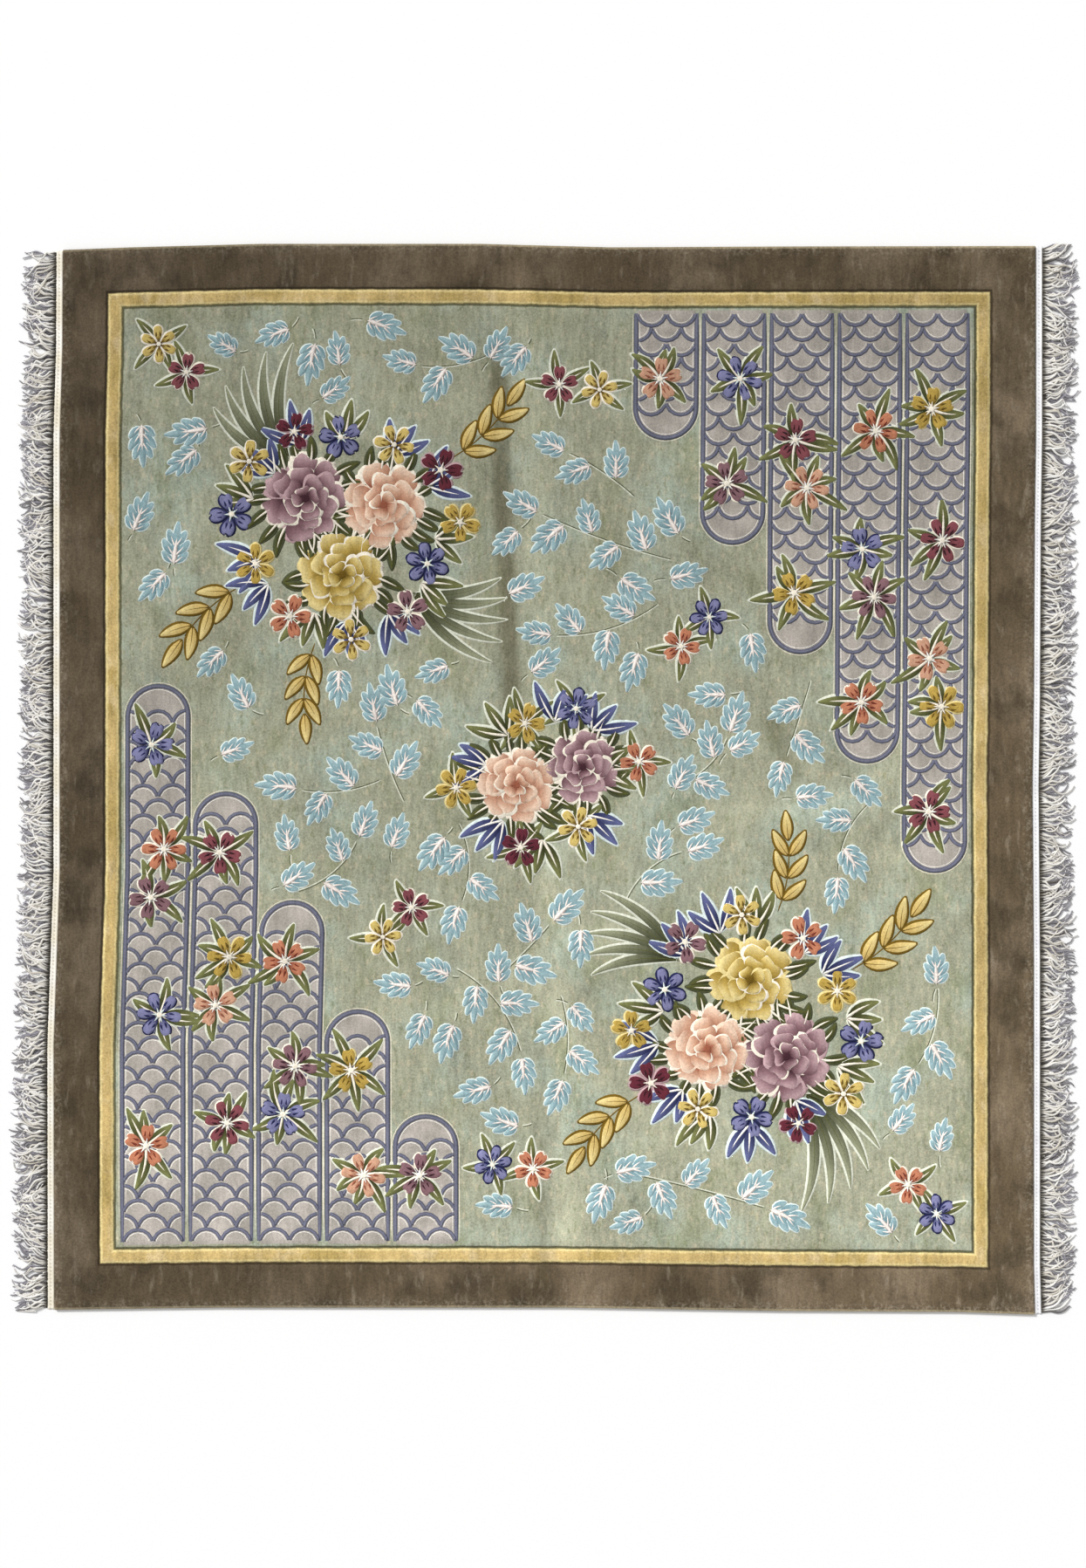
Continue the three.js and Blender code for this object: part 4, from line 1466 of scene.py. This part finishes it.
fringe_pieces = []
for side, name in ((-1, "left"), (1, "right")):
    band = end_band(side).finish(f"woven_band_{name}", BAND_WEAVE, "fringe_yarn")
    threads = fringe(side, 21 + side).finish(f"fringe_threads_{name}", FRINGE_YARN, "fringe_yarn")
    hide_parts(f"fringe_{name}")
    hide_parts(f"fringe_{name}")
    fringe_pieces += [band, threads]

# %% [markdown]
# The rug is seen from straight above, as a dealer lays it out, on a plain pale floor. A low, broad
# light from the upper left rakes over the carving so that every bevel has a bright and a dark side,
# and a white sky fills the rest.


# %% Floor, light and camera
FLOOR_HALF, FLOOR_DROP = 200, 0.0004
SKY_STRENGTH, SUN_STRENGTH, SUN_SPREAD = 0.5, 2.7, 14
SUN_WAY = Vector((0.62, -0.62, -0.66))


def pale_floor():
    material, _, shader = start_material("pale_floor")
    shader.inputs["Base Color"].default_value = colour("FDFDFD")
    shader.inputs["Roughness"].default_value = 0.9
    bm = bmesh.new()
    bmesh.ops.create_grid(bm, x_segments=1, y_segments=1, size=FLOOR_HALF)
    bmesh.ops.translate(bm, verts=bm.verts, vec=(0, 0, -FLOOR_DROP))
    mesh = bpy.data.meshes.new("floor")
    bm.to_mesh(mesh)
    bm.free()
    mesh.materials.append(material)
    floor = bpy.data.objects.new("floor", mesh)
    bpy.context.scene.collection.objects.link(floor)
    return floor


floor = pale_floor()
world = bpy.data.worlds.new("studio")
world.use_nodes = True
world.node_tree.nodes["Background"].inputs["Color"].default_value = (1, 1, 1, 1)
world.node_tree.nodes["Background"].inputs["Strength"].default_value = SKY_STRENGTH
bpy.context.scene.world = world
sun = bpy.data.lights.new("broad_key", "SUN")
sun.energy, sun.angle = SUN_STRENGTH, math.radians(SUN_SPREAD)
key = bpy.data.objects.new("broad_key", sun)
key.rotation_euler = SUN_WAY.to_track_quat("-Z", "Y").to_euler()
bpy.context.scene.collection.objects.link(key)
bpy.context.scene.view_settings.view_transform = "Standard"

PHOTO_WIDTH, PHOTO_HEIGHT = 1245, 1797
MM_PER_PIXEL = 2.0
RUG_MIDDLE_PIXEL = (626.5, 893.0)
camera_data = bpy.data.cameras.new("camera")
camera_data.lens, camera_data.sensor_width = 60.0, 36.0
camera = bpy.data.objects.new("camera", camera_data)
axis_x = (PHOTO_WIDTH / 2 - RUG_MIDDLE_PIXEL[0]) * MM_PER_PIXEL * MM
axis_y = (RUG_MIDDLE_PIXEL[1] - PHOTO_HEIGHT / 2) * MM_PER_PIXEL * MM
above = PHOTO_HEIGHT * MM_PER_PIXEL * MM * camera_data.lens / camera_data.sensor_width
camera.location = CHART_ORIGIN + Vector((axis_x, axis_y, above + PILE_HEIGHT * MM))
bpy.context.scene.collection.objects.link(camera)
bpy.context.scene.camera = camera
print("camera stands", round(above, 2), "m above the pile")
